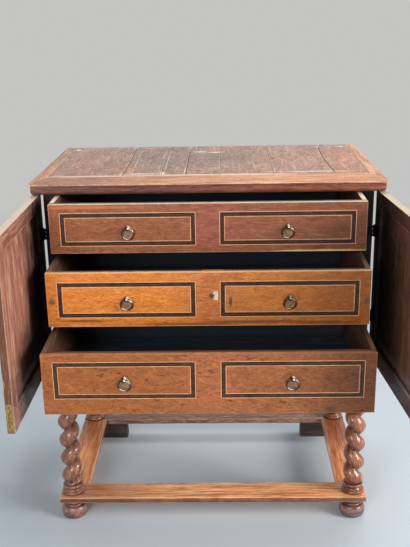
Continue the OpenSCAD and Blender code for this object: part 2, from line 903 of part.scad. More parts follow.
module bolt_plate(spare) {
    half = bolt_plate_w / 2 + spare;
    block([-spare, -half, -spare], [bolt_plate_t + spare, half, bolt_plate_h + spare]);
}

module bolt_bar(spare) {
    half = bolt_w / 2 + spare;
    block([bolt_plate_t + glue, -half, -spare], [bolt_plate_t + bolt_t + spare, half, bolt_plate_h * 0.75 + spare]);
}

// The thumb piece of a bolt, or with its travel and a spare gap the slot in the plate
module bolt_thumb(travel, spare) {
    half = bolt_w / 2 - 1 + spare;
    low = bolt_plate_h / 2;
    block([-0.4, -half, low - travel - spare], [bolt_plate_t + 0.5, half, low + bolt_plate_h / 8 + spare]);
}

module door_stiles() {
    difference() {
        union() {
            block([meeting_gap / 2, leaf_y, leaf_z], [meeting_gap / 2 + leaf_stile_w, leaf_back, leaf_top]);
            block([half_case - leaf_stile_w, leaf_y, leaf_z], [half_case, leaf_back, leaf_top]);
        }
        panel_body(glue, 0);
        hinge_heights() block([half_case - hinge_plate_w - glue, pin_y - hinge_plate_t - 2 * glue, -glue],
            [half_case + 1, leaf_back + 1, hinge_h + glue]);
    }
}

module door_rails() {
    left = meeting_gap / 2 + leaf_stile_w;
    right = half_case - leaf_stile_w;
    difference() {
        union() {
            block([left, leaf_y, leaf_z], [right, leaf_back, leaf_z + leaf_foot_w]);
            block([left, leaf_y, leaf_top - leaf_head_w], [right, leaf_back, leaf_top]);
        }
        panel_body(glue, 0);
    }
}

module door_panel() {
    panel_body(0, panel_float);
    panel_field();
}

// The knuckles from first on, every second one, bored for the pin, with their plate.
// side is 1 for the plate on the case and -1 for the plate on the door.
module hinge_leaf(first, side) {
    step = hinge_h / knuckles;
    y0 = side > 0 ? glue / 2 : -glue / 2 - hinge_plate_t;
    difference() {
        union() {
            block([half_case - hinge_plate_w, pin_y + y0, 0], [plate_end, pin_y + y0 + hinge_plate_t, hinge_h]);
            for (k = [first : 2 : knuckles - 1]) translate([0, 0, k * step + knuckle_gap / 2]) {
                translate([pin_x, pin_y, 0]) cylinder(d = knuckle_d, h = step - knuckle_gap);
                block([plate_end - 1, pin_y + y0, 0],
                    [pin_x - pin_d / 2, pin_y + y0 + hinge_plate_t, step - knuckle_gap]);
            }
        }
        translate([pin_x, pin_y, -1]) cylinder(r = pin_d / 2 + pin_fit, h = hinge_h + 2);
    }
}

module left_door_stiles() {
    color([0.36, 0.17, 0.13]) hung(-1) difference() {
        door_stiles();
        bolt_places() {
            bolt_plate(glue);
            bolt_bar(slide_fit);
        }
    }
}

module left_door_rails() { color([0.38, 0.18, 0.14]) hung(-1) door_rails(); }
module left_door_panel() { color([0.42, 0.2, 0.14]) hung(-1) door_panel(); }
module left_door_hinge_leaves() { color([0.08, 0.08, 0.08]) hung(-1) hinge_heights() hinge_leaf(1, -1); }
module right_door_stiles() { color([0.2, 0.1, 0.07]) hung(1) door_stiles(); }
module right_door_rails() { color([0.21, 0.11, 0.08]) hung(1) door_rails(); }
module right_door_panel() { color([0.24, 0.12, 0.08]) hung(1) door_panel(); }
module right_door_hinge_leaves() { color([0.08, 0.08, 0.08]) hung(1) hinge_heights() hinge_leaf(1, -1); }

module case_hinge_leaves() {
    color([0.08, 0.08, 0.08]) set_down() both_sides() hinge_heights() hinge_leaf(0, 1);
}

// A pin with a small domed head stands in each hinge
module hinge_pins() {
    color([0.1, 0.1, 0.1]) set_down() both_sides() hinge_heights() translate([pin_x, pin_y, 0]) {
        cylinder(d = pin_d, h = hinge_h + 1);
        translate([0, 0, hinge_h + 0.5]) cylinder(r1 = pin_d * 0.8, r2 = pin_d * 0.4, h = 3);
    }
}

module bolt_plates() {
    color([0.7, 0.55, 0.28]) hung(-1) bolt_places() difference() {
        bolt_plate(0);
        bolt_thumb(bolt_throw, slide_fit);
    }
}

module bolt() {
    bolt_bar(0);
    bolt_thumb(0, 0);
}

module lower_bolt() {
    color([0.62, 0.48, 0.25]) hung(-1) translate([meeting_gap / 2, leaf_y + leaf_t / 2, leaf_z]) bolt();
}

module upper_bolt() {
    color([0.62, 0.48, 0.25]) hung(-1) translate([meeting_gap / 2, leaf_y + leaf_t / 2, leaf_top])
        mirror([0, 0, 1]) bolt();
}

bun_feet();
block_feet();
stretcher_front();
stretcher_back();
stretcher_sides();
leg_front_left();
leg_front_right();
leg_back_left();
leg_back_right();
apron_front();
apron_back();
apron_sides();
waist_moulding();
case_sides();
case_bottom();
case_back();
front_stiles();
front_rails();
drawer_runners();
top_border_front();
top_border_sides();
top_planks();
cornice_moulding();
drawer_1_front();
drawer_1_box();
drawer_1_bottom();
drawer_1_inlay();
drawer_1_pull_plates();
drawer_2_front();
drawer_2_box();
drawer_2_bottom();
drawer_2_inlay();
drawer_2_pull_plates();
drawer_3_front();
drawer_3_box();
drawer_3_bottom();
drawer_3_inlay();
drawer_3_pull_plates();
ring_1_left();
ring_1_right();
ring_2_left();
ring_2_right();
ring_3_left();
ring_3_right();
escutcheon();
drawer_lock();
lock_bolt();
left_door_stiles();
left_door_rails();
left_door_panel();
left_door_hinge_leaves();
right_door_stiles();
right_door_rails();
right_door_panel();
right_door_hinge_leaves();
case_hinge_leaves();
hinge_pins();
bolt_plates();
upper_bolt();
lower_bolt();
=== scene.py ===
# %% [markdown]
# # A cabinet on a stand, dressed for the camera
#
# The real object is an old wooden cabinet. Two panelled doors stand open, three
# inlaid drawers are pulled out, and the stand below has corkscrew-turned legs.
# The CAD model already gives every board its true place and size. This script
# loads it as a fixed frame. It then adds finishes, and it builds finer shapes
# where the CAD model is too plain: turned legs, worn boards, inlaid strings and
# cast pulls.

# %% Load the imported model
import math

import bmesh
import bpy
from mathutils import Matrix, Vector, noise


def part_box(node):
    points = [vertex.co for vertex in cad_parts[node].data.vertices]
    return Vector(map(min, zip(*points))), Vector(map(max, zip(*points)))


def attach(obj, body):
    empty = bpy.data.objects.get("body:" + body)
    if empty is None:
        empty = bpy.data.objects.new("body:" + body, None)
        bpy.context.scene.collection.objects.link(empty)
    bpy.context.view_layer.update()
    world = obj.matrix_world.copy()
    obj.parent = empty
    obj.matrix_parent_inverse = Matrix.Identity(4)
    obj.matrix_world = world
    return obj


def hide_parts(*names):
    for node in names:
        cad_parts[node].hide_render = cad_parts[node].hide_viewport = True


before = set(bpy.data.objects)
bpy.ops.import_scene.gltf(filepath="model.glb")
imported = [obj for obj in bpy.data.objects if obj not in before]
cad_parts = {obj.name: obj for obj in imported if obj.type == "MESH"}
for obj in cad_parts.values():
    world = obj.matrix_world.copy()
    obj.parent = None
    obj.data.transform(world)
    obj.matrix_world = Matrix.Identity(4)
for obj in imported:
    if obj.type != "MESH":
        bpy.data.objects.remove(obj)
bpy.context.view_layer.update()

# %% [markdown]
# ## The cabinet's own coordinates
#
# A cabinet maker measures from the piece itself, not from the middle of the space
# that it fills. So lengths below are in millimetres: across from the cabinet's
# middle, back from the front edge of its top, and up from the floor. The box of
# the front border board tells where that is in the frame.

# %% From the cabinet's millimetres to the frame's metres
border_low, border_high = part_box("top_border_front")
middle_x = (border_low.x + border_high.x) / 2
front_y = border_low.y


def at(across, back, up):
    """The point in the frame for a place on the cabinet in millimetres."""
    return Vector((middle_x + across / 1000, front_y + back / 1000, up / 1000))


def box_of(node):
    """A node's lowest and highest corner in the cabinet's millimetres."""
    return [Vector(((corner.x - middle_x) * 1000, (corner.y - front_y) * 1000, corner.z * 1000))
            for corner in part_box(node)]


print("middle", round(middle_x, 4), "front edge", round(front_y, 4))

# %% [markdown]
# ## The camera
#
# The photograph was taken by hand, from a little above the top's height and
# looking down. A camera model fitted to the corners of the top, the drawers and
# the stretchers gave these angles. The camera's axes are built from them as three
# perpendicular directions, which avoids any doubt about the order of turns.

# %% Set up the camera
PITCH, YAW, ROLL = 0.3248, -0.02216, -0.01691
LENS_PLACE = (38.5, -2236.8, 1605.4)
FOCAL_PIXELS, PICTURE_HEIGHT = 822.0, 547
SENSOR_HEIGHT, FAR_CLIP = 36.0, 4000

forward = Vector((math.sin(YAW) * math.cos(PITCH), math.cos(YAW) * math.cos(PITCH),
                  -math.sin(PITCH)))
level = Vector((math.cos(YAW), -math.sin(YAW), 0))
upward = level.cross(forward)
right = level * math.cos(ROLL) + upward * math.sin(ROLL)
upward = upward * math.cos(ROLL) - level * math.sin(ROLL)

camera_data = bpy.data.cameras.new("camera")
camera_data.sensor_fit = "VERTICAL"
camera_data.sensor_height = SENSOR_HEIGHT
camera_data.lens = FOCAL_PIXELS / PICTURE_HEIGHT * SENSOR_HEIGHT
camera_data.clip_end = FAR_CLIP
camera = bpy.data.objects.new("camera", camera_data)
camera.matrix_world = Matrix.Translation(at(*LENS_PLACE)) @ Matrix(
    (right, upward, -forward)).transposed().to_4x4()
bpy.context.scene.collection.objects.link(camera)
bpy.context.scene.camera = camera
print("camera lens", round(camera_data.lens, 2), "mm")

# %% [markdown]
# ## Colours
#
# A colour is easiest to name by its screen values, three numbers from 0 to 255.
# Nodes work in linear light, where the same colour has other numbers. One small
# function turns the first into the second, so every colour below reads alike.

# %% Colours by their screen values
def shade(red, green, blue):
    """A colour in linear light, from its screen values."""
    def linear(value):
        value /= 255
        return value / 12.92 if value <= 0.04045 else ((value + 0.055) / 1.055) ** 2.4
    return (linear(red), linear(green), linear(blue), 1)


print("a middle grey is", round(shade(128, 128, 128)[0], 3), "in linear light")

# %% [markdown]
# ## Recipes for nodes
#
# A procedural material is a chain of small nodes. Writing each node out takes many
# lines, so a Recipe adds one with its inputs in a single call, and gives short
# names to the few kinds used most: noise, a span of values, a blend of colours.
# A material owns such a chain and so does the sky, and a Recipe serves both.

# %% The Recipe helper
MIX_SHARE, MIX_UNDER, MIX_OVER = 0, 6, 7


class Recipe:
    """The nodes of a material or a sky, added one after another."""

    def __init__(self, owner):
        owner.use_nodes = True
        self.owner, self.tree = owner, owner.node_tree
        self.tree.nodes.clear()

    def add(self, kind, inputs=None, **settings):
        node = self.tree.nodes.new(kind)
        for name, value in settings.items():
            setattr(node, name, value)
        for name, value in (inputs or {}).items():
            self.feed(node.inputs[name], value)
        return node

    def feed(self, socket, value):
        """Links another node's output to a socket, or sets the socket to a plain value."""
        if isinstance(value, bpy.types.NodeSocket):
            self.tree.links.new(value, socket)
        else:
            socket.default_value = value

    def math(self, operation, first, second=0.0):
        return self.add("ShaderNodeMath", {0: first, 1: second}, operation=operation).outputs[0]

    def times(self, first, second):
        return self.math("MULTIPLY", first, second)

    def vector(self, operation, first, second=(0, 0, 0), output=0):
        return self.add("ShaderNodeVectorMath", {0: first, 1: second},
                        operation=operation).outputs[output]

    def noise(self, where, size, detail=4.0, roughness=0.55, distortion=0.0):
        """Cloudy noise whose blots are about size millimetres wide."""
        return self.add("ShaderNodeTexNoise", {
            "Vector": where, "Scale": 1000 / size, "Detail": detail,
            "Roughness": roughness, "Distortion": distortion}).outputs[0]

    def span(self, value, low, high, to_low=0.0, to_high=1.0):
        """Turns low..high into to_low..to_high, and holds the ends."""
        return self.add("ShaderNodeMapRange", {
            "Value": value, "From Min": low, "From Max": high,
            "To Min": to_low, "To Max": to_high}).outputs[0]

    def blend(self, share, under, over, how="MIX"):
        return self.add("ShaderNodeMix", {MIX_SHARE: share, MIX_UNDER: under, MIX_OVER: over},
                        data_type="RGBA", blend_type=how).outputs[2]

    def tint(self, share, colour, factors):
        """Multiplies a colour, so that the grain in it still shows."""
        return self.blend(share, colour, factors, "MULTIPLY")

    def ramp(self, value, *stops):
        node = self.add("ShaderNodeValToRGB", {"Fac": value})
        elements = node.color_ramp.elements
        while len(elements) < len(stops):
            elements.new(0.5)
        for element, (position, colour) in zip(elements, stops):
            element.position = position
            element.color = colour
        return node.outputs[0]

    def seen(self):
        """1 for the camera, mirrors and glass, and 0 for the light that falls on things."""
        rays = self.add("ShaderNodeLightPath").outputs
        return self.math("MAXIMUM", rays["Is Camera Ray"], self.math(
            "MAXIMUM", rays["Is Glossy Ray"], rays["Is Transmission Ray"]))


print("recipe helper ready")

# %% [markdown]
# ## Where a finish wears
#
# Wear and dirt follow the shape of a thing: edges are rubbed, corners keep their
# dust, upper faces fade. Corners and grooves are also darkened with painted
# shade, together with their dust. Blender can find such places while it renders.
# The Bevel node knows where an edge is near, ambient occlusion knows how shut in
# a point is, and the object's own coordinates tell the rest. Marks could also be
# painted by hand on every board, but these need no painting, and because they stay
# with the object, they move with a drawer or a door.

# %% The Finish helper
class Finish(Recipe):
    """A material's recipe, which can ask where its surface is worn, shut in or marked."""

    def __init__(self, name):
        super().__init__(bpy.data.materials.new(name))
        self.shader = self.add("ShaderNodeBsdfPrincipled")
        self.output = self.add("ShaderNodeOutputMaterial", {"Surface": self.shader.outputs[0]})
        own = self.add("ShaderNodeTexCoord").outputs
        self.place, self.facing = own["Object"], own["Normal"]
        self.surface = self.add("ShaderNodeNewGeometry")

    def edges(self, radius=3.5):
        """1 along sharp edges and 0 on faces: the Bevel node's normal leans only near an edge."""
        leaning = self.add("ShaderNodeBevel", {"Radius": radius / 1000}, samples=4).outputs[0]
        alike = self.vector("DOT_PRODUCT", leaning, self.surface.outputs["True Normal"], "Value")
        return self.span(alike, 0.995, 0.86)

    def shut_in(self, reach=30.0, none=0.75, full=0.2):
        """1 deep in a corner and 0 in the open, between two shares of open space."""
        open_share = self.add("ShaderNodeAmbientOcclusion", {"Distance": reach / 1000},
                              samples=4).outputs["AO"]
        return self.span(open_share, none, full)

    def towards(self, direction, none=0.8, full=0.95):
        """1 on faces that look in a direction in the rest pose, 0 on all others."""
        alike = self.vector("DOT_PRODUCT", self.facing, direction, "Value")
        return self.span(alike, none, full)

    def patch(self, centre, half, spots, ragged=0.9):
        """1 near a point and 0 past the half sizes, with a ragged border."""
        offset = self.vector("SUBTRACT", self.place, at(*centre))
        scaled = self.vector("MULTIPLY", offset, tuple(1000 / length for length in half))
        away = self.math("ADD", self.vector("LENGTH", scaled, output="Value"),
                         self.times(spots, ragged))
        return self.span(away, 1.15 + ragged / 2, 0.45 + ragged / 2)

    def bump(self, height, depth, strength=1.0):
        """Raises the surface by depth millimetres where height is 1."""
        self.feed(self.shader.inputs["Normal"], self.add("ShaderNodeBump", {
            "Height": height, "Distance": depth / 1000, "Strength": strength}).outputs[0])


print("finish helper ready")

# %% [markdown]
# ## Old polished wood
#
# Every board here is old hardwood under wax or varnish. Four things make such
# wood read as real: grain that runs along the board, wear that bares the edges,
# grime with painted shade in the corners, and small stains. The grain is noise
# squeezed across the board. The worn edges come from the Bevel node, and the grime
# and painted shade come from ambient occlusion. Faces that look in one direction
# may be bare or painted.
# A picture of wood wrapped round each board would be less work, but it would
# repeat from board to board and blur close up.

# %% The wood finish
# The first colour darkens shut-in places, as grime together with painted shade.
DIRT_AND_SHADE, STAIN = (0.3, 0.25, 0.22, 1), (0.4, 0.34, 0.31, 1)
PORE, DASH = (0.45, 0.38, 0.34, 1), (0.28, 0.2, 0.16, 1)
CLOUD_SIZE, SPOT_SIZE, PORE_SIZE, DASH_SIZE, SCRATCH_SIZE = 130, 34, 1.8, 7, 9
GRAIN_REACH, GRAIN_DEPTH = 0.13, 0.6


def wood(name, dark, middle, light, grain="X", turn=0.0, seed=0.0, figure=40, contrast=1.0,
         run=0.12, wear=0.5, worn=None, grime_and_shade=0.6, gloss=0.35, stains=0.4, coat=0.2, rim=0.0,
         flecks=0.0, flakes=0.0, flake_colour=None, painted=(), tinges=(), patches=(),
         nook=30.0, nook_levels=(0.75, 0.2), specular=0.35, film=0.1,
         pitted=0.5, flake_size=8, scratched=0.0):
    """A wood finish. figure is the width of its broad grain bands in millimetres, and run says
    how short the grain is. turn lines a door's width up with X, in degrees. rim bares upper
    faces, flecks are short dark dashes and flakes are pale chips. painted holds (direction,
    colour, share), tinges hold (centre, half sizes, factors) that let the grain through, and
    patches hold (centre, half sizes, colour, share) and perhaps the direction of their face.
    nook is how far dirt and painted shade reach out of a corner, and nook_levels are the
    shares of open space between which they grow."""
    recipe = Finish(name)
    turned_place = recipe.add("ShaderNodeVectorRotate", {
        "Vector": recipe.place, "Angle": math.radians(turn)}, rotation_type="Z_AXIS").outputs[0]

    def along(share, shift):
        """Places pulled out along the grain, where noise turns into lines."""
        return recipe.add("ShaderNodeMapping", {
            "Vector": turned_place, "Location": shift,
            "Scale": tuple(share if axis == grain else 1 for axis in "XYZ")}).outputs[0]

    grained = along(run, (seed, seed * 0.7, seed * 1.3))
    broad = recipe.noise(grained, figure, 5, 0.6, 1.4)
    streaks = recipe.noise(grained, figure / 5, 6, 0.68, 0.6)
    pores = recipe.noise(grained, PORE_SIZE, 3, 0.6)
    clouds = recipe.noise(recipe.place, CLOUD_SIZE, 3, 0.5)
    spots = recipe.noise(recipe.place, SPOT_SIZE, 5, 0.7, 0.6)
    specks = recipe.noise(recipe.place, flake_size, 4, 0.7, 0.4)

    mixed = recipe.math("ADD", recipe.times(broad, 0.45), recipe.times(streaks, 0.55))
    reach = GRAIN_REACH / contrast
    colour = recipe.ramp(mixed, (0.5 - reach, dark), (0.5, middle), (0.5 + reach, light))
    colour = recipe.blend(recipe.span(clouds, 0.35, 0.65, 0.0, 0.3), colour, middle)
    for centre, half, factors in tinges:
        colour = recipe.tint(recipe.patch(centre, half, spots, 0.5), colour, (*factors, 1))
    for direction, paint, share in painted:
        facing = recipe.times(recipe.towards(direction),
                              recipe.span(spots, 0.3, 0.6, share, share * 0.8))
        colour = recipe.blend(facing, colour, paint)
    colour = recipe.tint(recipe.span(spots, 0.56, 0.72, 0.0, stains), colour, STAIN)
    colour = recipe.tint(recipe.span(pores, 0.56, 0.68, 0.0, pitted), colour, PORE)
    if flecks:
        dashes = recipe.noise(along(0.3, (seed * 3, 0, 0)), DASH_SIZE, 2, 0.5, 0.8)
        colour = recipe.tint(recipe.span(dashes, 0.62, 0.7, 0.0, flecks), colour, DASH)
    if flakes:
        flaking = recipe.times(recipe.span(specks, 0.52, 0.6),
                               recipe.span(spots, 0.4, 0.6, 0.2, 1))
        colour = recipe.blend(recipe.times(flaking, flakes), colour, flake_colour)
    pale = worn or light
    if scratched:
        lines = recipe.noise(along(0.06, (0, seed * 2, 0)), SCRATCH_SIZE, 3, 0.6, 0.5)
        colour = recipe.blend(recipe.span(lines, 0.6, 0.7, 0.0, scratched), colour, pale)
    rubbed = recipe.times(recipe.edges(), recipe.span(spots, 0.35, 0.6, wear * 0.4, wear))
    if rim:
        bared = recipe.times(recipe.towards((0, 0, 1)),
                             recipe.span(specks, 0.35, 0.5, rim * 0.6, rim))
        rubbed = recipe.math("MAXIMUM", rubbed, bared)
    colour = recipe.blend(rubbed, colour, pale)
    for centre, half, paint, share, *side in patches:
        cover = recipe.times(recipe.patch(centre, half, spots), share)
        if side:
            cover = recipe.times(cover, recipe.towards(side[0], 0.2, 0.6))
        colour = recipe.blend(cover, colour, paint)
    # Ambient occlusion darkens corners and grooves: grime together with painted shade.
    dirt_and_shade = recipe.times(recipe.shut_in(nook, *nook_levels), grime_and_shade)
    colour = recipe.tint(dirt_and_shade, colour, DIRT_AND_SHADE)

    recipe.feed(recipe.shader.inputs["Base Color"], colour)
    recipe.feed(recipe.shader.inputs["Roughness"],
                recipe.span(streaks, 0.3, 0.7, gloss, gloss + 0.2))
    recipe.shader.inputs["Specular IOR Level"].default_value = specular
    recipe.shader.inputs["Coat Weight"].default_value = coat
    recipe.shader.inputs["Coat Roughness"].default_value = film
    height = recipe.math("SUBTRACT", recipe.times(streaks, 0.5),
                         recipe.span(pores, 0.55, 0.75, 0, 0.5))
    recipe.bump(height, GRAIN_DEPTH, 0.5)
    return recipe.owner


print("wood finish ready")

# %% [markdown]
# ## Which wood goes where
#
# The photograph shows several woods or at least several ages of polish. The
# drawer fronts are warm orange-brown, the legs reddish and shiny with black
# grooves, the top dry and worn, and the insides bare and dark. Each gets its own
# recipe, with its grain along the board. Marks that the eye finds at once, such as
# the dark right end of a drawer, which is painted shadow, or a bare strip, are put
# in their places one by one.

# %% Marks on the drawer fronts
CREAM = shade(228, 208, 184)
FACE = {1: -95, 2: -196, 3: -326}
MIDDLE = {1: 1014, 2: 846, 3: 662}
UPPER_EDGE = {1: 1082, 2: 921, 3: 746}


def tones_and_door_shadow(number, left, middle, right_door_shadow):
    """Broad tinges over a drawer's front. Its left part and its middle mix the wood's own tone
    with painted light, and its right end is darkened as the painted shadow of the right door.
    """
    return [((across, FACE[number], MIDDLE[number]), half, factors) for across, half, factors in (
        (-290, (260, 60, 130), left), (20, (90, 60, 130), middle),
        (430, (200, 60, 150), right_door_shadow))]


def front_marks(number, *marks):
    """The dark rear part of a drawer front's upper edge, and marks on its face, each with its
    place across and up, its half width and half height, its colour and its share."""
    edge = ((0, FACE[number] + 18, UPPER_EDGE[number]), (900, 9, 8), shade(44, 32, 28), 0.9)
    return [edge] + [((across, FACE[number], up), (half_across, 12, half_up), colour, share)
                     for across, up, half_across, half_up, colour, share in marks]


print("drawer faces at", FACE)

# %% Mix the woods of the drawer fronts
# On every front the tinges mix the wood's own tone with painted light, and the right end's tinge
# is the painted shadow of the right door. The first front's wood is darker partly as painted
# shade, because the right door's shadow covers all of it.
DRAWER_WOODS = {
    1: wood("drawer wood 1", shade(96, 50, 34), shade(142, 82, 54), shade(184, 116, 80), seed=1.0,
            figure=11, worn=CREAM, wear=0.6, rim=0.95, run=0.22, flecks=0.35, coat=0.1,
            contrast=0.8, pitted=0.25,
            tinges=tones_and_door_shadow(1, (1.0, 0.96, 0.74), (1.1, 1.0, 1.2), (0.78, 0.78, 0.76)),
            patches=front_marks(1, (305, 945, 150, 6, shade(242, 198, 140), 1.0))
            + [((-330, -95, 1074), (160, 8, 5), shade(206, 126, 70), 0.6)]),
    2: wood("drawer wood 2", shade(150, 80, 26), shade(200, 116, 44), shade(236, 152, 70),
            seed=5.0, figure=12, worn=shade(244, 206, 164), wear=0.6, rim=0.8, run=0.25,
            flecks=0.4, coat=0.1, contrast=0.85, pitted=0.25,
            tinges=tones_and_door_shadow(2, (1.12, 1.1, 0.92), (0.86, 0.84, 1.35), (0.6, 0.54, 0.44)),
            patches=front_marks(2, (-415, 842, 11, 11, shade(96, 60, 42), 0.8),
                                (419, 837, 9, 13, shade(84, 56, 40), 0.7),
                                (60, 839, 5, 17, shade(60, 38, 26), 0.85),
                                (-330, 787, 90, 4, shade(86, 50, 28), 0.75),
                                (-60, 776, 150, 5, shade(110, 62, 36), 0.7),
                                (120, 781, 150, 6, shade(104, 60, 38), 0.75),
                                (310, 778, 90, 5, shade(96, 56, 34), 0.75))),
    3: wood("drawer wood 3", shade(104, 56, 26), shade(148, 86, 44), shade(184, 116, 66),
            seed=9.0, figure=12, worn=shade(206, 150, 108), wear=0.5, rim=0.25, run=0.35,
            flecks=0.85, coat=0.1, stains=0.35, contrast=0.9, pitted=0.3,
            tinges=tones_and_door_shadow(3, (1.05, 0.95, 0.62), (1.22, 1.12, 1.3), (0.56, 0.46, 0.32)),
            patches=front_marks(3, (314, 588, 22, 12, shade(70, 44, 30), 0.75),
                                (65, 664, 9, 11, shade(120, 74, 54), 0.7))),
}
print(len(DRAWER_WOODS), "drawer woods mixed")

# %% [markdown]
# ## Inside the drawers, and their inlay
#
# The drawers' sides and backs were never polished, only handled, so their upper
# edges are pale. The far end of each box lies in the case's shadow, which is painted
# on it in a dark bluish grey, and the bluish grey of the drawer bottoms is painted
# shade too. The inlay needs two quiet woods, because the strings are narrow.

# %% Mix the woods of the boxes and the inlay
# The far end of each box gets a dark bluish painted shadow.
BACK_SHADOW, BACK_AT = shade(42, 56, 66), 500
drawer_insides = {}
for number, up, rim_tint, rim in ((1, 1010, CREAM, 1.0), (2, 845, shade(150, 118, 98), 0.5),
                                  (3, 660, shade(138, 100, 76), 0.45)):
    drawer_insides[number] = wood(
        f"drawer inside wood {number}", shade(58, 36, 28), shade(92, 58, 44), shade(124, 82, 62),
        grain="Y", worn=rim_tint, wear=0.5, rim=rim, gloss=0.6, coat=0.0, grime_and_shade=0.9, seed=number,
        patches=[((0, FACE[number] + BACK_AT, up), (900, 90, 150), BACK_SHADOW, 1.0)])
# The drawer bottoms' bluish grey is painted shade, standing for the shade inside the case.
drawer_bottom = wood("drawer bottom wood", shade(44, 54, 64), shade(66, 78, 90),
                     shade(88, 98, 108), gloss=0.7, coat=0.0, grime_and_shade=0.7)
light_string = wood("light inlay wood", shade(196, 132, 84), shade(226, 168, 116),
                    shade(244, 198, 150), figure=8, wear=0.1, grime_and_shade=0.0, stains=0.2)
dark_band = wood("dark inlay wood", shade(40, 24, 18), shade(68, 40, 28), shade(96, 62, 46),
                 figure=10, wear=0.0, grime_and_shade=0.0, stains=0.5, coat=0.0, run=0.3, specular=0.2,
                 tinges=[((-330, FACE[3], 670), (150, 30, 120), (1.0, 1.3, 1.2)),
                         ((330, FACE[3], 670), (150, 30, 120), (0.9, 1.2, 1.1))])
print(len(drawer_insides), "box woods mixed")

# %% [markdown]
# ## The case
#
# The case is dark inside and warm outside, and its back was never polished. The
# dark of its front stiles, rails, bottom and runners is partly their own wood and
# partly painted shade. Little of it shows from the front, so its woods stay simple,
# but each side still has grain and wear of its own, because a cabinet is looked at
# from all sides.

# %% Mix the woods of the case
# The case's front stiles, rails and bottom are nearly black, partly dark wood and partly painted
# shade.
case_dark = wood("case wood", shade(24, 17, 14), shade(40, 28, 22), shade(62, 42, 32), grain="Z",
                 worn=shade(110, 76, 60), wear=0.3, grime_and_shade=0.9)
case_side = wood("case side wood", shade(86, 46, 30), shade(122, 70, 47), shade(154, 96, 66),
                 grain="Z", figure=60, worn=shade(200, 150, 112), wear=0.6)
case_rail = wood("case rail wood", shade(22, 18, 17), shade(36, 30, 27), shade(56, 44, 38),
                 worn=shade(100, 72, 58), wear=0.3, grime_and_shade=0.9)
bare_back = wood("bare back boards", shade(96, 68, 48), shade(132, 98, 72), shade(164, 128, 98),
                 grain="Z", gloss=0.65, coat=0.0, figure=50,
                 painted=[((0, -1, 0), shade(90, 116, 136), 1.0)])
# The runners' near-black is partly painted shade as well.
runner_wood = wood("runner wood", shade(30, 28, 28), shade(48, 42, 40), shade(70, 58, 52),
                   grain="Y", gloss=0.65, coat=0.0)
print("case woods mixed")

# %% [markdown]
# ## The stand
#
# The stand is the glossiest part: its turned legs have a thick varnish that shines
# on every bulge, and grime together with painted shade makes them black in the
# grooves. A second, clear layer over the colour, the coat, gives that shine. The
# stretchers are the same wood with the varnish walked off, so theirs is paler and
# has more contrast.

# %% Mix the woods of the stand
def at_height(up, half_up, *marks):
    """Marks on a level surface, each with its place across and back, its half width and half
    depth, and what else it holds."""
    return [((across, back, up), (half_across, half_back, half_up), *rest)
            for across, back, half_across, half_back, *rest in marks]


STRETCHER_TOP = 87
# The strong grime here darkens the legs' grooves nearly to black, as grime together with painted
# shade.
STAND = {"grain": "Z", "figure": 24, "gloss": 0.25, "coat": 0.62, "stains": 0.25, "wear": 0.5,
         "run": 0.3, "grime_and_shade": 1.0, "nook": 42, "nook_levels": (0.9, 0.52), "pitted": 0.3,
         "film": 0.15}
stand_wood = wood("stand wood", shade(86, 49, 36), shade(144, 91, 68), shade(204, 147, 116),
                  worn=shade(234, 190, 164), **STAND)
right_stand_wood = wood("warm stand wood", shade(78, 43, 30), shade(138, 82, 56),
                        shade(204, 135, 92), worn=shade(226, 178, 146), seed=2.0, **STAND)
LEVEL_STAND = {**STAND, "figure": 20, "run": 0.08, "worn": shade(214, 168, 140), "coat": 0.4,
               "nook": 20, "nook_levels": (0.75, 0.2)}
apron_x, apron_y = (
    wood(f"apron wood {way}", shade(78, 44, 32), shade(122, 74, 54), shade(166, 110, 82),
         seed=seed, **{**LEVEL_STAND, "grain": grain})
    for way, grain, seed in (("across", "X", 0.0), ("along", "Y", 3.3)))
bun_wood = wood("bun foot wood", shade(74, 46, 42), shade(126, 84, 78), shade(190, 146, 136),
                worn=shade(226, 190, 180), seed=6.5,
                tinges=at_height(25, 60, (-453, 70, 60, 60, (1.4, 1.36, 1.3))),
                **{**STAND, "grain": "X", "flecks": 0.5, "stains": 0.5})
foot_wood = wood("block foot wood", shade(40, 32, 30), shade(64, 50, 46), shade(92, 74, 66),
                 gloss=0.5, coat=0.0, worn=shade(150, 128, 112), wear=0.6)
print("stand woods mixed")

# %% Mix the woods of the stretchers
STRETCHER = {"figure": 16, "wear": 0.9, "gloss": 0.2, "coat": 0.5, "contrast": 1.35,
             "flecks": 0.15, "run": 0.04, "worn": shade(250, 218, 184), "pitted": 0.2,
             "stains": 0.5}
stretcher_x = wood("stretcher wood across", shade(150, 76, 38), shade(236, 158, 102),
                   shade(252, 212, 162), seed=3.0,
                   painted=[((0, -1, 0), shade(84, 50, 38), 1.0)],
                   tinges=at_height(STRETCHER_TOP, 30, (80, 70, 330, 90, (1.2, 1.17, 1.1)),
                                    (-400, 70, 180, 90, (0.8, 0.74, 0.7))), **STRETCHER)
stretcher_rear = wood("back stretcher wood", shade(76, 50, 44), shade(124, 88, 76),
                      shade(178, 136, 120), seed=5.0, figure=12, wear=0.8, gloss=0.3,
                      contrast=1.5, flecks=0.6, worn=shade(226, 190, 170))
# The left side stretcher is lightened with painted light, and both side stretchers are darker
# towards their back ends.
stretcher_y = wood("stretcher wood along", shade(160, 80, 46), shade(226, 142, 90),
                   shade(250, 192, 138), grain="Y", seed=4.0,
                   painted=[((1, 0, 0), shade(96, 62, 48), 0.7)],
                   tinges=at_height(STRETCHER_TOP, 30, (-450, 300, 120, 400, (1.5, 1.5, 1.4)),
                                    (-450, 560, 120, 230, (0.45, 0.36, 0.34)),
                                    (450, 540, 120, 260, (0.4, 0.3, 0.3))), **STRETCHER)
print("stretcher woods mixed")

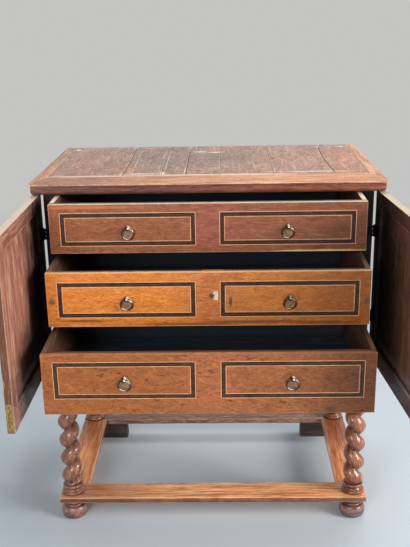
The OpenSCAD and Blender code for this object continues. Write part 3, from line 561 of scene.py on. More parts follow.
# %% [markdown]
# ## The top
#
# Sun and water have bleached the top in some places and left it dark in others.
# Broad tinges multiply the colour and let the grain show through. Pale scars lie
# where planks meet, and patches paint them over the grain. A picture of the real
# surface would be quicker, but it would hold only for one view.

# %% Mix the woods of the top
TOP_LEVEL, MARK_DEPTH, TINGE_DEPTH = 1116, 20, 30
SEAM_TINT, CREAM_CHIP = shade(246, 210, 190), shade(250, 228, 208)
FRONT_SEAM = at_height(
    TOP_LEVEL, MARK_DEPTH, (-330, 112, 190, 13, SEAM_TINT, 0.8),
    (-205, 140, 70, 9, SEAM_TINT, 0.8), (-60, 118, 170, 13, SEAM_TINT, 0.85),
    (120, 116, 150, 15, SEAM_TINT, 0.85), (310, 148, 130, 10, SEAM_TINT, 0.7))
BACK_CHIPS = at_height(TOP_LEVEL, MARK_DEPTH, (-30, 490, 26, 9, CREAM_CHIP, 0.9),
                       (20, 478, 28, 10, CREAM_CHIP, 0.9))
SIDE_CHIPS = at_height(TOP_LEVEL, MARK_DEPTH, (446, 560, 15, 12, CREAM_CHIP, 0.7),
                       (-446, 548, 10, 14, CREAM_CHIP, 0.8))
PLANK_SCARS = at_height(
    TOP_LEVEL, MARK_DEPTH, (-130, 330, 1.6, 220, CREAM_CHIP, 0.55),
    (-134, 146, 8, 26, CREAM_CHIP, 0.9), (-226, 300, 1.6, 200, SEAM_TINT, 0.5),
    (-70, 180, 2, 60, CREAM_CHIP, 0.6), (-430, 180, 30, 40, shade(150, 130, 118), 0.6))
top_worn = wood("top plank wood", shade(106, 77, 65), shade(156, 122, 106), shade(197, 163, 145),
                grain="Y", figure=18, run=0.3, contrast=1.5, stains=0.4, wear=0.9,
                worn=shade(238, 206, 182), gloss=0.34, coat=0.1, seed=2.0, flakes=0.7,
                flake_colour=shade(236, 200, 180), flake_size=6, pitted=0.6, flecks=0.7,
                scratched=0.5, patches=FRONT_SEAM + BACK_CHIPS + SIDE_CHIPS + PLANK_SCARS,
                tinges=at_height(TOP_LEVEL, TINGE_DEPTH,
                                 (-380, 260, 130, 240, (1.0, 0.86, 0.76)),
                                 (-240, 220, 40, 90, (1.25, 1.0, 0.7)),
                                 (-120, 400, 170, 260, (0.66, 0.74, 0.8)),
                                 (80, 400, 110, 160, (0.78, 0.82, 0.84)),
                                 (300, 300, 200, 260, (1.12, 1.04, 1.0)),
                                 (430, 300, 60, 300, (1.2, 0.98, 0.84))))
BORDER = {"figure": 12, "wear": 1.0, "gloss": 0.34, "coat": 0.15, "contrast": 1.8, "run": 0.05,
          "flakes": 0.6, "worn": shade(230, 202, 168), "flake_size": 5, "pitted": 0.35,
          "scratched": 0.5}
top_edge_x = wood("top border wood across", shade(142, 72, 44), shade(202, 132, 92),
                  shade(242, 184, 138), seed=6.0, flake_colour=shade(246, 210, 182),
                  patches=FRONT_SEAM, tinges=at_height(
                      TOP_LEVEL, TINGE_DEPTH, (-440, 60, 300, 120, (0.54, 0.5, 0.52))), **BORDER)
top_edge_y = wood("top border wood along", shade(146, 87, 58), shade(194, 136, 104),
                  shade(228, 180, 144), grain="Y", seed=7.0, flake_colour=shade(240, 204, 178),
                  patches=SIDE_CHIPS, tinges=at_height(
                      TOP_LEVEL, TINGE_DEPTH, (-486, 470, 60, 240, (0.6, 0.66, 0.7)),
                      (-486, 120, 60, 200, (0.85, 0.78, 0.7))), **BORDER)
cornice_wood = wood("cornice wood", shade(92, 54, 46), shade(132, 82, 70), shade(172, 108, 84),
                    figure=12, worn=shade(206, 150, 120), wear=0.5, gloss=0.3, seed=8.0,
                    coat=0.1, contrast=1.3,
                    tinges=at_height(1098, 60, (-330, 10, 260, 60, (0.7, 0.76, 0.84)),
                                     (330, 10, 260, 60, (1.1, 0.98, 0.84))))
print("top woods mixed")

# %% [markdown]
# ## The doors
#
# The left door's inner face is dry and scratched. Near the hinge and along the
# foot, both doors carry a near-black painted shadow. The right door is much darker,
# partly its own tone and partly painted shade. Both hang at an angle, so the grain
# is turned by that angle before it is stretched. Each painted shadow lies only on
# faces that look one way, so the outer faces stay clean.

# %% Mix the woods of the doors
INWARDS, OTHER_INWARDS, UPWARDS, FORWARDS = (1, 0, 0), (-1, 0, 0), (0, 0, 1), (0, -1, 0)
# A near-black colour for the painted shadow near the doors' hinges and feet.
DOOR_SHADOW = shade(12, 10, 10)
DOOR_WEAR = {"worn": CREAM, "rim": 0.85, "wear": 0.7, "coat": 0.12, "specular": 0.25,
             "gloss": 0.4, "run": 0.1}


def on_door(across, *marks):
    """Marks on a door, each with its place back and up, its half depth and half height, its
    colour, its share and the direction of its face."""
    return [((across, back, up), (60, half_back, half_up), *rest)
            for back, up, half_back, half_up, *rest in marks]


# Every patch on both doors is painted shadow: near the hinges, along the foot and on the bottom
# rail's upper faces.
LEFT_DOOR = {"turn": 90.7, "scratched": 0.35, "painted": [(FORWARDS, shade(96, 56, 34), 1.0)],
             "patches": on_door(-474, (0, 820, 200, 460, DOOR_SHADOW, 0.96, INWARDS),
                                (0, 820, 200, 460, DOOR_SHADOW, 0.9, FORWARDS),
                                (-60, 600, 400, 185, DOOR_SHADOW, 1.0, INWARDS),
                                (-150, 650, 230, 170, shade(30, 22, 19), 0.8, INWARDS),
                                (-40, 635, 420, 60, shade(36, 27, 24), 0.9, UPWARDS)),
             **DOOR_WEAR}
RIGHT_DOOR = {"turn": 85.0,
              "patches": on_door(480, (-30, 810, 260, 480, DOOR_SHADOW, 0.97, OTHER_INWARDS),
                                 (-30, 810, 220, 480, DOOR_SHADOW, 0.92, FORWARDS),
                                 (-150, 590, 420, 80, shade(26, 19, 16), 0.85, OTHER_INWARDS),
                                 (-40, 635, 420, 60, shade(24, 19, 17), 0.9, UPWARDS)),
              **DOOR_WEAR}
left_upright = wood("left door wood", shade(100, 57, 45), shade(148, 97, 80),
                    shade(200, 148, 128), grain="Z", seed=1.5, **LEFT_DOOR)
left_level = wood("left door rail wood", shade(97, 56, 44), shade(141, 92, 76),
                  shade(192, 138, 119), seed=2.5, **LEFT_DOOR)
# The right door's woods are darker than the left's, partly their own tone and partly painted
# shade.
right_upright = wood("right door wood", shade(64, 38, 28), shade(104, 66, 50),
                     shade(146, 98, 76), grain="Z", seed=3.5, **RIGHT_DOOR)
right_level = wood("right door rail wood", shade(60, 36, 27), shade(98, 62, 47),
                   shade(138, 92, 72), seed=4.5, **RIGHT_DOOR)
print("door woods mixed")

# %% [markdown]
# ## Aged metal
#
# The rings are nearly black with painted highlights, on brown plates. The keyhole
# plate is pale with one dark end. The hinges are black iron, and the lock and the
# flush bolts are brass, which has kept its shine where thumbs rub it. A bare metal
# shader alone would look new, so one recipe blends a dull and a bright colour for
# all of them. On the rings, knobs and plate rims the bright colour is a painted
# highlight.

# %% The metal finish
BLOT_SIZE, METAL_SCRATCH, METAL_NOOK = 7, 1.2, 6


def metal(name, dull, bright, roughness, metallic=1.0, highlight_direction=None, narrow=(0.35, 0.85),
          dark_spot=None):
    """Aged metal. An optional direction gives faces that look that way the bright colour as
    a painted highlight, and narrow says how closely. An optional dark spot is given by its
    centre, half sizes and colour."""
    recipe = Finish(name)
    blots = recipe.noise(recipe.place, BLOT_SIZE, 5, 0.65)
    scratches = recipe.noise(recipe.place, METAL_SCRATCH, 3, 0.7)
    # Faces that look in the given direction get the bright colour as a painted highlight.
    if highlight_direction:
        share = recipe.times(recipe.towards(highlight_direction, *narrow), recipe.span(blots, 0.25, 0.5, 0.6, 1))
    else:
        share = recipe.math("MAXIMUM", recipe.span(blots, 0.45, 0.7, 0, 0.6),
                            recipe.times(recipe.edges(1.0), 0.6))
    colour = recipe.blend(share, dull, bright)
    if dark_spot:
        centre, half, dark = dark_spot
        colour = recipe.blend(recipe.patch(centre, half, blots, 0.3), colour, dark)
    # Ambient occlusion darkens the metal's hollows with the same grime and painted shade.
    colour = recipe.tint(recipe.times(recipe.shut_in(METAL_NOOK), 0.8), colour, DIRT_AND_SHADE)
    recipe.feed(recipe.shader.inputs["Base Color"], colour)
    recipe.shader.inputs["Metallic"].default_value = metallic
    recipe.feed(recipe.shader.inputs["Roughness"],
                recipe.span(blots, 0.3, 0.7, roughness + 0.2, roughness))
    recipe.bump(recipe.math("ADD", blots, recipe.times(scratches, 0.4)), 0.3, 0.5)
    return recipe.owner


print("metal finish ready")

# %% Mix the metals
# The rings, knobs and plate rims take their bright colour as a painted highlight on faces that
# look up, right and forward.
RING_HIGHLIGHT = (0.36, -0.7, 0.62)
ring_metal = metal("ring metal", shade(50, 33, 26), shade(236, 218, 200), 0.35, 0.2,
                   RING_HIGHLIGHT, (0.78, 0.94))
pull_metal = metal("pull plate metal", shade(132, 92, 64), shade(192, 148, 110), 0.4, 0.3)
# The keyhole plate is darker at its left end.
plate_low, plate_high = box_of("escutcheon")
plate_size = plate_high - plate_low
dark_end = (plate_low.x + plate_size.x / 4, plate_low.y, (plate_low.z + plate_high.z) / 2)
plate_metal = metal("keyhole plate metal", shade(208, 184, 160), shade(250, 240, 222), 0.4, 0.1,
                    dark_spot=(dark_end, (plate_size.x * 0.36, 8, 16), shade(92, 62, 46)))
lock_brass = metal("lock brass", shade(166, 118, 72), shade(214, 166, 112), 0.5, 0.3)
hinge_iron = metal("hinge iron", shade(14, 13, 13), shade(46, 42, 40), 0.5, 0.6)
bolt_brass = metal("flush bolt brass", shade(138, 100, 52), shade(246, 204, 126), 0.3, 0.8)
print(len(bpy.data.materials), "materials in all")

# %% [markdown]
# ## Finishes on the CAD pieces
#
# Pieces whose CAD shape is already true, such as the doors, the drawer boxes and
# the hinges, keep it. Only the material in their slot changes. The others get a
# finish here too, although finer pieces take their place further down.

# %% Give the CAD pieces their finishes
FINISHES = {
    "bun_feet": bun_wood, "block_feet": foot_wood, "stretcher_front": stretcher_x,
    "stretcher_back": stretcher_rear, "stretcher_sides": stretcher_y, "apron_front": apron_x,
    "apron_back": apron_x, "apron_sides": apron_y, "waist_moulding": apron_x,
    "case_sides": case_side, "case_bottom": case_rail, "case_back": bare_back,
    "front_stiles": case_dark, "front_rails": case_rail, "drawer_runners": runner_wood,
    "top_border_front": top_edge_x, "top_border_sides": top_edge_y, "top_planks": top_worn,
    "cornice_moulding": cornice_wood, "escutcheon": plate_metal, "drawer_lock": lock_brass,
    "lock_bolt": lock_brass, "case_hinge_leaves": hinge_iron, "hinge_pins": hinge_iron,
    "bolt_plates": bolt_brass, "upper_bolt": bolt_brass, "lower_bolt": bolt_brass,
}
for leg in ("front_left", "front_right", "back_left", "back_right"):
    FINISHES[f"leg_{leg}"] = stand_wood
for side, upright, level_wood in (("left", left_upright, left_level),
                                  ("right", right_upright, right_level)):
    FINISHES[f"{side}_door_stiles"] = FINISHES[f"{side}_door_panel"] = upright
    FINISHES[f"{side}_door_rails"] = level_wood
    FINISHES[f"{side}_door_hinge_leaves"] = hinge_iron
for number in (1, 2, 3):
    FINISHES[f"drawer_{number}_front"] = DRAWER_WOODS[number]
    FINISHES[f"drawer_{number}_box"] = drawer_insides[number]
    FINISHES[f"drawer_{number}_bottom"] = drawer_bottom
    FINISHES[f"drawer_{number}_inlay"] = dark_band
    FINISHES[f"drawer_{number}_pull_plates"] = pull_metal
    for side in ("left", "right"):
        FINISHES[f"ring_{number}_{side}"] = ring_metal
for node, finish in FINISHES.items():
    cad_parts[node].material_slots[0].material = finish
print(len(FINISHES), "of", len(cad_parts), "nodes finished")

# %% [markdown]
# ## Meshes from rows of points
#
# Turned and moulded pieces are all skins over rows of points: each row is a ring
# round the piece. One helper joins the rows with faces, and another makes the
# object and lets it ride on the body that carries it. Modifiers can make such
# skins too, but rows can twist, taper and wear from one to the next.

# %% Helpers for new pieces
def skin(rows):
    """Points and faces over rows that are closed rings with the same number of points."""
    count = len(rows[0])
    points = [point for row in rows for point in row]
    faces = []
    for i in range(len(rows) - 1):
        for j in range(count):
            k = (j + 1) % count
            faces.append((i * count + j, i * count + k, (i + 1) * count + k, (i + 1) * count + j))
    faces.append(tuple(reversed(range(count))))
    faces.append(tuple(range((len(rows) - 1) * count, len(rows) * count)))
    return points, faces


def piece_of(name, skins, finish, body, replaced=(), sharp=40):
    """One object from one or more skins. Edges sharper than the angle sharp stay crisp."""
    points, faces = [], []
    for more_points, more_faces in skins:
        start = len(points)
        points += more_points
        faces += [tuple(start + i for i in face) for face in more_faces]
    mesh = bpy.data.meshes.new(name)
    mesh.from_pydata([tuple(point) for point in points], [], faces)
    cleaner = bmesh.new()
    cleaner.from_mesh(mesh)
    bmesh.ops.remove_doubles(cleaner, verts=cleaner.verts, dist=1e-7)
    bmesh.ops.recalc_face_normals(cleaner, faces=cleaner.faces)
    cleaner.to_mesh(mesh)
    cleaner.free()
    mesh.polygons.foreach_set("use_smooth", [True] * len(mesh.polygons))
    mesh.set_sharp_from_angle(angle=math.radians(sharp))
    mesh.materials.append(finish)
    piece = bpy.data.objects.new(name, mesh)
    bpy.context.scene.collection.objects.link(piece)
    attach(piece, body)
    if replaced:
        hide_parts(*replaced)
    return piece


print("mesh helpers ready")

# %% [markdown]
# ## Turned shapes
#
# A turner cuts a profile while the wood spins. In the same way a list of heights
# and radii, carried round an axis, gives a round shape. The Screw modifier does
# this as well, but a list is easily joined from parts. The commonest cut is the
# bead, a half-round ring between two narrow necks.

# %% Helpers for turned shapes
def circle(count):
    """The cosine and sine of evenly spaced angles, once round."""
    angles = [2 * math.pi * j / count for j in range(count)]
    return [(math.cos(angle), math.sin(angle)) for angle in angles]


def turned(profile, across, back, around=48):
    """A skin round an upright axis, from (height, radius) pairs in millimetres."""
    return skin([[at(across + radius * cosine, back + radius * sine, height)
                  for cosine, sine in circle(around)] for height, radius in profile])


def bead(low, high, radius, neck, steps=8):
    """Pairs of height and radius over a half-round bead between two heights."""
    pairs = []
    for i in range(steps + 1):
        angle = math.pi * i / steps
        pairs.append(((low + high) / 2 - (high - low) / 2 * math.cos(angle),
                      neck + (radius - neck) * math.sin(angle) ** 0.6))
    return pairs


print("a bead has", len(bead(0, 1, 2, 1)), "pairs")

# %% [markdown]
# ## The corkscrew legs
#
# A leg is one length of wood. A tenon at its foot goes into the stretchers. Above
# them come a round base with beads, the corkscrew, more beads and a square block.
# The corkscrew's radius depends only on how far a point lies from the strand's
# crest, measured round the leg. A twisted bar would come close, but this formula
# keeps the strand fat and the groove sharp. The crest turns once in 64 mm of
# height. Left legs wind one way, right legs the other.

# %% The leg's turned ends and square block
BLOCK_BOTTOM, STAND_TOP = 465, 555
TWIST_LOW, TWIST_HIGH = 121, 441
TENON_LOW, TENON_RADIUS = 69, 12
BASE_TURNING = ([(TENON_LOW, TENON_RADIUS), (STRETCHER_TOP, TENON_RADIUS)]
                + bead(STRETCHER_TOP, 97, 35.4, 31) + bead(97.6, 101.4, 33, 28.5, 4)
                + [(102.5, 28), (105.5, 23.6), (108.5, 21.5)] + bead(109.5, 119.5, 32, 21)
                + [(TWIST_LOW, 21)])
HEAD_TURNING = ([(TWIST_HIGH, 24)] + bead(441.8, 451, 31, 23.5) + [(452.5, 24), (454.4, 25)]
                + bead(455, 464.8, 33, 26))
BLOCK_HALF, SOFTENED = 31, 1.8


def square_block(across, back):
    """The leg's square block, with softened edges."""
    rows = []
    for height, inset in ((BLOCK_BOTTOM, SOFTENED), (BLOCK_BOTTOM + SOFTENED, 0),
                          (STAND_TOP - SOFTENED, 0), (STAND_TOP, SOFTENED)):
        row = []
        for k in range(4):
            corner = math.radians(90 * k + 45)
            reach = (BLOCK_HALF - SOFTENED - inset) * math.sqrt(2)
            for lean in (15, 45, 75):
                angle = math.radians(90 * k + lean)
                row.append(at(
                    across + reach * math.cos(corner) + SOFTENED * math.cos(angle),
                    back + reach * math.sin(corner) + SOFTENED * math.sin(angle), height))
        rows.append(row)
    return skin(rows)


print("base turning", len(BASE_TURNING), "pairs, head turning", len(HEAD_TURNING), "pairs")

# %% The corkscrew
RISE_PER_TURN, CREST, GROOVE, CORE, EASE = 64.0, 33.0, 13.5, 24, 8


def strand_radius(away):
    """The corkscrew's radius at an angle in degrees from the strand's crest."""
    share = abs((away + 180) % 360 - 180) / 180
    return GROOVE + (CREST - GROOVE) * (1 - share * share)


def corkscrew(across, back, hand, start, steps=260, around=64):
    """The twist, which eases into a plain core at both ends. hand is 1 or -1, and start is
    the crest's angle at the foot."""
    rows = []
    for i in range(steps + 1):
        height = TWIST_LOW + (TWIST_HIGH - TWIST_LOW) * i / steps
        crest = start + hand * 360 * (height - TWIST_LOW) / RISE_PER_TURN
        ease = min(1.0, (height - TWIST_LOW) / EASE, (TWIST_HIGH - height) / EASE)
        row = []
        for j in range(around):
            angle = 360 * j / around
            radius = CORE + (strand_radius(angle - crest) - CORE) * ease
            row.append(at(across + radius * math.cos(math.radians(angle)),
                          back + radius * math.sin(math.radians(angle)), height))
        rows.append(row)
    return skin(rows)


print("the twist makes", (TWIST_HIGH - TWIST_LOW) / RISE_PER_TURN, "turns")

# %% Build the legs
LEG_ACROSS, LEG_FRONT, LEG_BACK = 453, 70, 565
for name, across, back, hand, start in (
        ("leg_front_left", -LEG_ACROSS, LEG_FRONT, 1, 33),
        ("leg_front_right", LEG_ACROSS, LEG_FRONT, -1, 29),
        ("leg_back_left", -LEG_ACROSS, LEG_BACK, 1, 75),
        ("leg_back_right", LEG_ACROSS, LEG_BACK, -1, 105)):
    skins = [turned(BASE_TURNING, across, back), corkscrew(across, back, hand, start),
             turned(HEAD_TURNING, across, back), square_block(across, back)]
    leg = piece_of(f"turned_{name}", skins, right_stand_wood if across > 0 else stand_wood,
                   "cabinet", [name], sharp=50)
    print(name, len(leg.data.vertices), "points")

# %% [markdown]
# ## The bun feet
#
# A bun foot is a ball that the turner flattened, with a neck on top and two cut
# lines round its middle. A profile spun round an upright axis gives all of it. A
# squashed sphere would be quicker, but it would have neither neck nor lines.

# %% Turn the bun feet
BUN_RADIUS, BUN_SOLE, BUN_MIDDLE = 41.5, 22.0, 22
BUN_STEPS, CUT_LINES, CUT_DEPTH = 20, (8, 13), 1.2
bun_profile = [(0.0, BUN_SOLE)]
for i in range(1, BUN_STEPS):
    angle = math.pi * i / BUN_STEPS
    radius = BUN_SOLE + (BUN_RADIUS - BUN_SOLE) * math.sin(angle) ** 0.55
    if i in CUT_LINES:
        radius -= CUT_DEPTH
    bun_profile.append((BUN_MIDDLE - BUN_MIDDLE * math.cos(angle), radius))
bun_profile += (bead(44, 49, 31, 27, 5) + [(50, 25.5), (53, 25)] + bead(54, 62, 33, 26, 6)
                + [(64, 28), (66.9, 28)])
piece_of("turned_bun_feet",
         [turned(bun_profile, side * LEG_ACROSS, LEG_FRONT, 64) for side in (-1, 1)],
         bun_wood, "cabinet", ["bun_feet"])
print("bun foot profile", len(bun_profile), "pairs")

# %% [markdown]
# ## Worn boards
#
# A sawn and planed board has no perfect edge left after long use. Its corners are
# rounded by hands and cloths, more in some places than in others, and its faces
# have gone a little hollow. A board is built as rows along its length.
# Each row is a rectangle with four rounded corners, and smooth noise changes the
# rounding and the thickness from row to row. A Bevel modifier would round all
# edges alike, which looks new. Wear only ever takes wood away, so a board never
# grows past the size that the CAD model gives it.

# %% The board builder
ROUNDING_WAVES, HOLLOW_WAVES, FAR_CORNER = 45, 90, 500


def waver(point, size, seed=0.0):
    """Smooth noise from 0 to 1, with waves about size millimetres long."""
    return 0.5 + 0.5 * noise.noise(Vector(point) / size + Vector((seed, seed * 2.3, -seed)))


def board(low, high, along, seed=0.0, rounding=1.6, hollow=0.5, spacing=22.0, warp=None):
    """A worn board between two corners, whose length runs along axis 0, 1 or 2."""
    low, high = Vector(low), Vector(high)
    one, two = [axis for axis in range(3) if axis != along]
    length = high[along] - low[along]
    count = max(2, round(length / spacing))
    stations = [low[along] + length * i / count for i in range(count + 1)]
    end = rounding * 0.8
    stations = ([(low[along], end), (low[along] + end * 0.3, end * 0.3)]
                + [(station, 0.0) for station in stations[1:-1]]
                + [(high[along] - end * 0.3, end * 0.3), (high[along], end)])
    steps = [max(1, round((high[axis] - low[axis]) / spacing)) for axis in (one, two)]
    rows = []
    for station, inset in stations:
        corners = []
        for k, (first, second) in enumerate(((0, 0), (1, 0), (1, 1), (0, 1))):
            probe = [0.0, 0.0, 0.0]
            probe[along], probe[one], probe[two] = station, first * FAR_CORNER, second * FAR_CORNER
            radius = rounding * (0.45 + 1.1 * waver(probe, ROUNDING_WAVES, seed))
            radius = min(radius, (high[one] - low[one]) * 0.4, (high[two] - low[two]) * 0.4)
            centre = [(high if first else low)[one] + (-1 if first else 1) * (radius + inset),
                      (high if second else low)[two] + (-1 if second else 1) * (radius + inset)]
            angles = [math.radians(180 + 90 * k + lean) for lean in (0, 30, 60, 90)]
            corners.append([(centre[0] + radius * math.cos(angle),
                             centre[1] + radius * math.sin(angle)) for angle in angles])
        row = []
        for k in range(4):
            start, goal = corners[k][-1], corners[(k + 1) % 4][0]
            between = steps[k % 2]
            row += corners[k]
            row += [(start[0] + (goal[0] - start[0]) * i / between,
                     start[1] + (goal[1] - start[1]) * i / between) for i in range(1, between)]
        ring = []
        for first, second in row:
            spot = [0.0, 0.0, 0.0]
            spot[along], spot[one], spot[two] = station, first, second
            dip = hollow * waver(spot, HOLLOW_WAVES, seed + 5)
            for axis in (one, two):
                half = (high[axis] - low[axis]) / 2
                spot[axis] -= (spot[axis] - low[axis] - half) / half * min(dip, half * 0.2)
            ring.append(at(*(warp(*spot) if warp else spot)))
        rows.append(ring)
    return skin(rows)


print("board builder ready")

# %% [markdown]
# ## The top's planks
#
# The top is a frame of border boards round seven planks. The planks have shrunk,
# so cracks have opened between them, and each lies a little higher or lower than
# the next. Joints painted on one slab would vanish from a low angle, so each plank
# is a board of its own, bent a little where its joint isn't straight. Under the
# thin lip, every board is thicker where it rests on the case.

# %% Build the planks
(_, _, TOP_BOTTOM), (_, _, TOP_HEIGHT) = box_of("top_planks")
TOP_HALF, TOP_DEEP = (border_high.x - border_low.x) * 500, box_of("top_border_sides")[1].y
SIDE_BORDER, FRONT_BORDER, LIP = 38, 120, 5
CASE_HALF, CASE_FRONT, CASE_BACK = box_of("case_sides")[1].x, 50, 585
PLANK_JOINTS = [0, 0.23, 0.353, 0.429, 0.536, 0.705, 0.898, 1]
JOINT_GAPS = [0.3, 0.7, 0.25, 0.6, 0.12, 0.12, 0.9, 0.3]
JOINT_BOWS = [0, 3, -2, 1, 2, 0, -9, 0]
BOW_REACH, FRONT_GAP, DEEPEST_SINK = 60, 0.8, 0.9
inner = TOP_HALF - SIDE_BORDER
planks = []
for i, (start, end) in enumerate(zip(PLANK_JOINTS, PLANK_JOINTS[1:])):
    left_end = -inner + 2 * inner * start + JOINT_GAPS[i]
    right_end = -inner + 2 * inner * end - JOINT_GAPS[i + 1]
    sink = DEEPEST_SINK * waver((i * 40, 0, 0), 30, 3)

    def bend(x, y, z, edges=(left_end, right_end), bows=JOINT_BOWS[i:i + 2]):
        """The plank's two edges curve in plan as its joints do."""
        swing = math.sin(math.pi * (y - FRONT_BORDER) / (TOP_DEEP - FRONT_BORDER))
        for edge, bow in zip(edges, bows):
            x += bow * swing * (1 - min(1, abs(x - edge) / BOW_REACH))
        return x, y, z

    planks.append(board((left_end, FRONT_BORDER + FRONT_GAP, TOP_HEIGHT - LIP),
                        (right_end, TOP_DEEP, TOP_HEIGHT - sink), 1,
                        seed=i * 3.1, rounding=1.8, hollow=0.5, warp=bend))
    planks.append(board((left_end, FRONT_BORDER + FRONT_GAP, TOP_BOTTOM),
                        (right_end, CASE_BACK, TOP_HEIGHT - LIP), 1,
                        seed=i, rounding=0.6, hollow=0.1, spacing=80))
piece_of("worn_top_planks", planks, top_worn, "cabinet", ["top_planks"])
print(len(planks) // 2, "planks")

# %% [markdown]
# ## The top's borders
#
# Three boards frame the planks: one along the front and two at the sides, mitred
# at the front corners. A plain board is built first, and a warp then slides its
# points to the mitre. That keeps the worn edges all the way round the joint.

# %% Build the borders
BACK_TAPER, TUCKED_IN, SEAM = 10, 10, 0.2


def front_mitre(x, y, z):
    """Slides the front border's ends inwards towards its rear edge."""
    return x * (1 - y / FRONT_BORDER * SIDE_BORDER / TOP_HALF), y, z


def side_mitre(side):
    def warp(x, y, z):
        """Slides a side border's front end back to the mitre, and its back corner inwards."""
        inward = (TOP_HALF - abs(x)) / SIDE_BORDER
        start = FRONT_BORDER * inward
        new_y = start + (y / TOP_DEEP) * (TOP_DEEP - start)
        return x - side * BACK_TAPER * (1 - inward) * new_y / TOP_DEEP, new_y, z
    return warp


lip = board((-TOP_HALF, 0, TOP_HEIGHT - LIP), (TOP_HALF, FRONT_BORDER, TOP_HEIGHT), 0,
            seed=21, rounding=2.0, hollow=0.4, warp=front_mitre)
rest = board((-CASE_HALF + TUCKED_IN, CASE_FRONT, TOP_BOTTOM),
             (CASE_HALF - TUCKED_IN, FRONT_BORDER, TOP_HEIGHT - LIP), 0,
             seed=22, rounding=0.5, hollow=0.1, spacing=100)
piece_of("worn_top_border_front", [lip, rest], top_edge_x, "cabinet",
         ["top_border_front"])
side_borders = []
for side in (-1, 1):
    low_x, high_x = sorted((side * inner, side * TOP_HALF))
    side_borders.append(board((low_x, 0, TOP_HEIGHT - LIP), (high_x, TOP_DEEP, TOP_HEIGHT), 1,
                              seed=30 + side, rounding=2.0, hollow=0.4, warp=side_mitre(side)))
    low_x, high_x = sorted((side * (inner + SEAM), side * CASE_HALF))
    side_borders.append(board((low_x, FRONT_BORDER, TOP_BOTTOM),
                              (high_x, CASE_BACK, TOP_HEIGHT - LIP), 1,
                              seed=35 + side, rounding=0.5, hollow=0.1, spacing=100))
piece_of("worn_top_border_sides", side_borders, top_edge_y, "cabinet",
         ["top_border_sides"])
print("three border boards")

# %% [markdown]
# ## Stretchers, aprons and block feet
#
# Four flat stretchers tie the legs together just above the feet, where shoes have
# worn them round. Four aprons tie them at the top, and the back legs stand on
# plain blocks. Their true size is read back from the CAD model's boxes, so the
# two models can't drift apart. Only where one box holds a pair, the width of one
# board of the pair is given here.

# %% Build the boards of the stand
SIDE_STRETCHER, SIDE_APRON, BLOCK_FOOT = 86, 22, 157


def rebuilt(node, along, finish, slot, seed, pair_width=None, **shape):
    """Worn boards in place of a node that is one box, or a mirrored pair of boxes."""
    low, high = box_of(node)
    spans = [(low, high)]
    if pair_width:
        spans = [(low, Vector((low.x + pair_width, high.y, high.z))),
                 (Vector((high.x - pair_width, low.y, low.z)), high)]
    boards = [board(a, b, along, seed=seed + k * 4, **shape) for k, (a, b) in enumerate(spans)]
    piece_of(f"worn_{node}", boards, finish, "cabinet", [node])


rebuilt("stretcher_front", 0, stretcher_x, "stretcher wood", 41, rounding=2.6, hollow=0.8)
rebuilt("stretcher_back", 0, stretcher_rear, "stretcher wood", 42, rounding=2.4, hollow=0.7)
rebuilt("stretcher_sides", 1, stretcher_y, "stretcher wood", 43, SIDE_STRETCHER,
        rounding=2.4, hollow=0.8)
rebuilt("apron_front", 0, apron_x, "stand wood", 44)
rebuilt("apron_back", 0, apron_x, "stand wood", 45)
rebuilt("apron_sides", 1, apron_y, "stand wood", 46, SIDE_APRON)
rebuilt("block_feet", 0, foot_wood, "stand wood", 47, BLOCK_FOOT, rounding=2.0)
print("boards of the stand rebuilt")

# %% [markdown]
# ## Inlay
#
# Each drawer front has two inlaid frames: a thin light string, a broad dark band
# and another light string, set into the wood. Their colours could be painted on
# one flat ring, but lines as thin as a string would blur. So strips with mitred
# corners rebuild them, and each colour is a piece of its own.

# %% Lay the inlay
STRING, BAND, BETWEEN, SUNK = 1.3, 11.2, 65, 1.2


def strip_frame(left, right_end, bottom, top, width, face):
    """A flat frame of four mitred strips, width millimetres wide, whose front is at face."""
    points, faces = [], []
    for x, z, inward_x, inward_z in ((left, bottom, 1, 1), (right_end, bottom, -1, 1),
                                     (right_end, top, -1, -1), (left, top, 1, -1)):
        for depth in (0, SUNK):
            points.append(at(x, face + depth, z))
            points.append(at(x + inward_x * width, face + depth, z + inward_z * width))
    for k in range(4):
        a, b = k * 4, ((k + 1) % 4) * 4
        faces += [(a, b, b + 1, a + 1), (a + 3, b + 3, b + 2, a + 2),
                  (a, a + 2, b + 2, b), (a + 1, b + 1, b + 3, a + 3)]
    return points, faces


for number in (1, 2, 3):
    low, high = box_of(f"drawer_{number}_inlay")
    strings, bands = [], []
    for left_end, right_end in ((low.x, -BETWEEN / 2), (BETWEEN / 2, high.x)):
        for inset, width, strips in ((0, STRING, strings), (STRING, BAND, bands),
                                     (STRING + BAND, STRING, strings)):
            strips.append(strip_frame(left_end + inset, right_end - inset,
                                      low.z + inset, high.z - inset, width, low.y))
    for name, strips, finish in (("light_strings", strings, light_string),
                                 ("dark_bands", bands, dark_band)):
        piece_of(f"{name}_{number}", strips, finish, f"drawer_{number}",
                 [f"drawer_{number}_inlay"])
    print("drawer", number, "inlay", [round(v) for v in high - low], "mm")

# %% [markdown]
# ## Ring pulls
#
# Each pull is a cast plate with a round body and a point above. A small turned
# knob stands out of it, and a thick ring hangs in the knob and leans on the plate.
# The plate is built in rings from its edge inwards, with a raised rim, so that its
# sloping edge catches the light. Blender's torus would be too even for the ring,
# which has worn thin where it hangs.

# %% The plate and its rim
PLATE_RADIUS, PLATE_PEAK, PLATE_DROP, PLATE_THICK = 16.5, 24.0, 14.5, 1.4
RIM_THICK, RIM_REACH = 1.0, 32


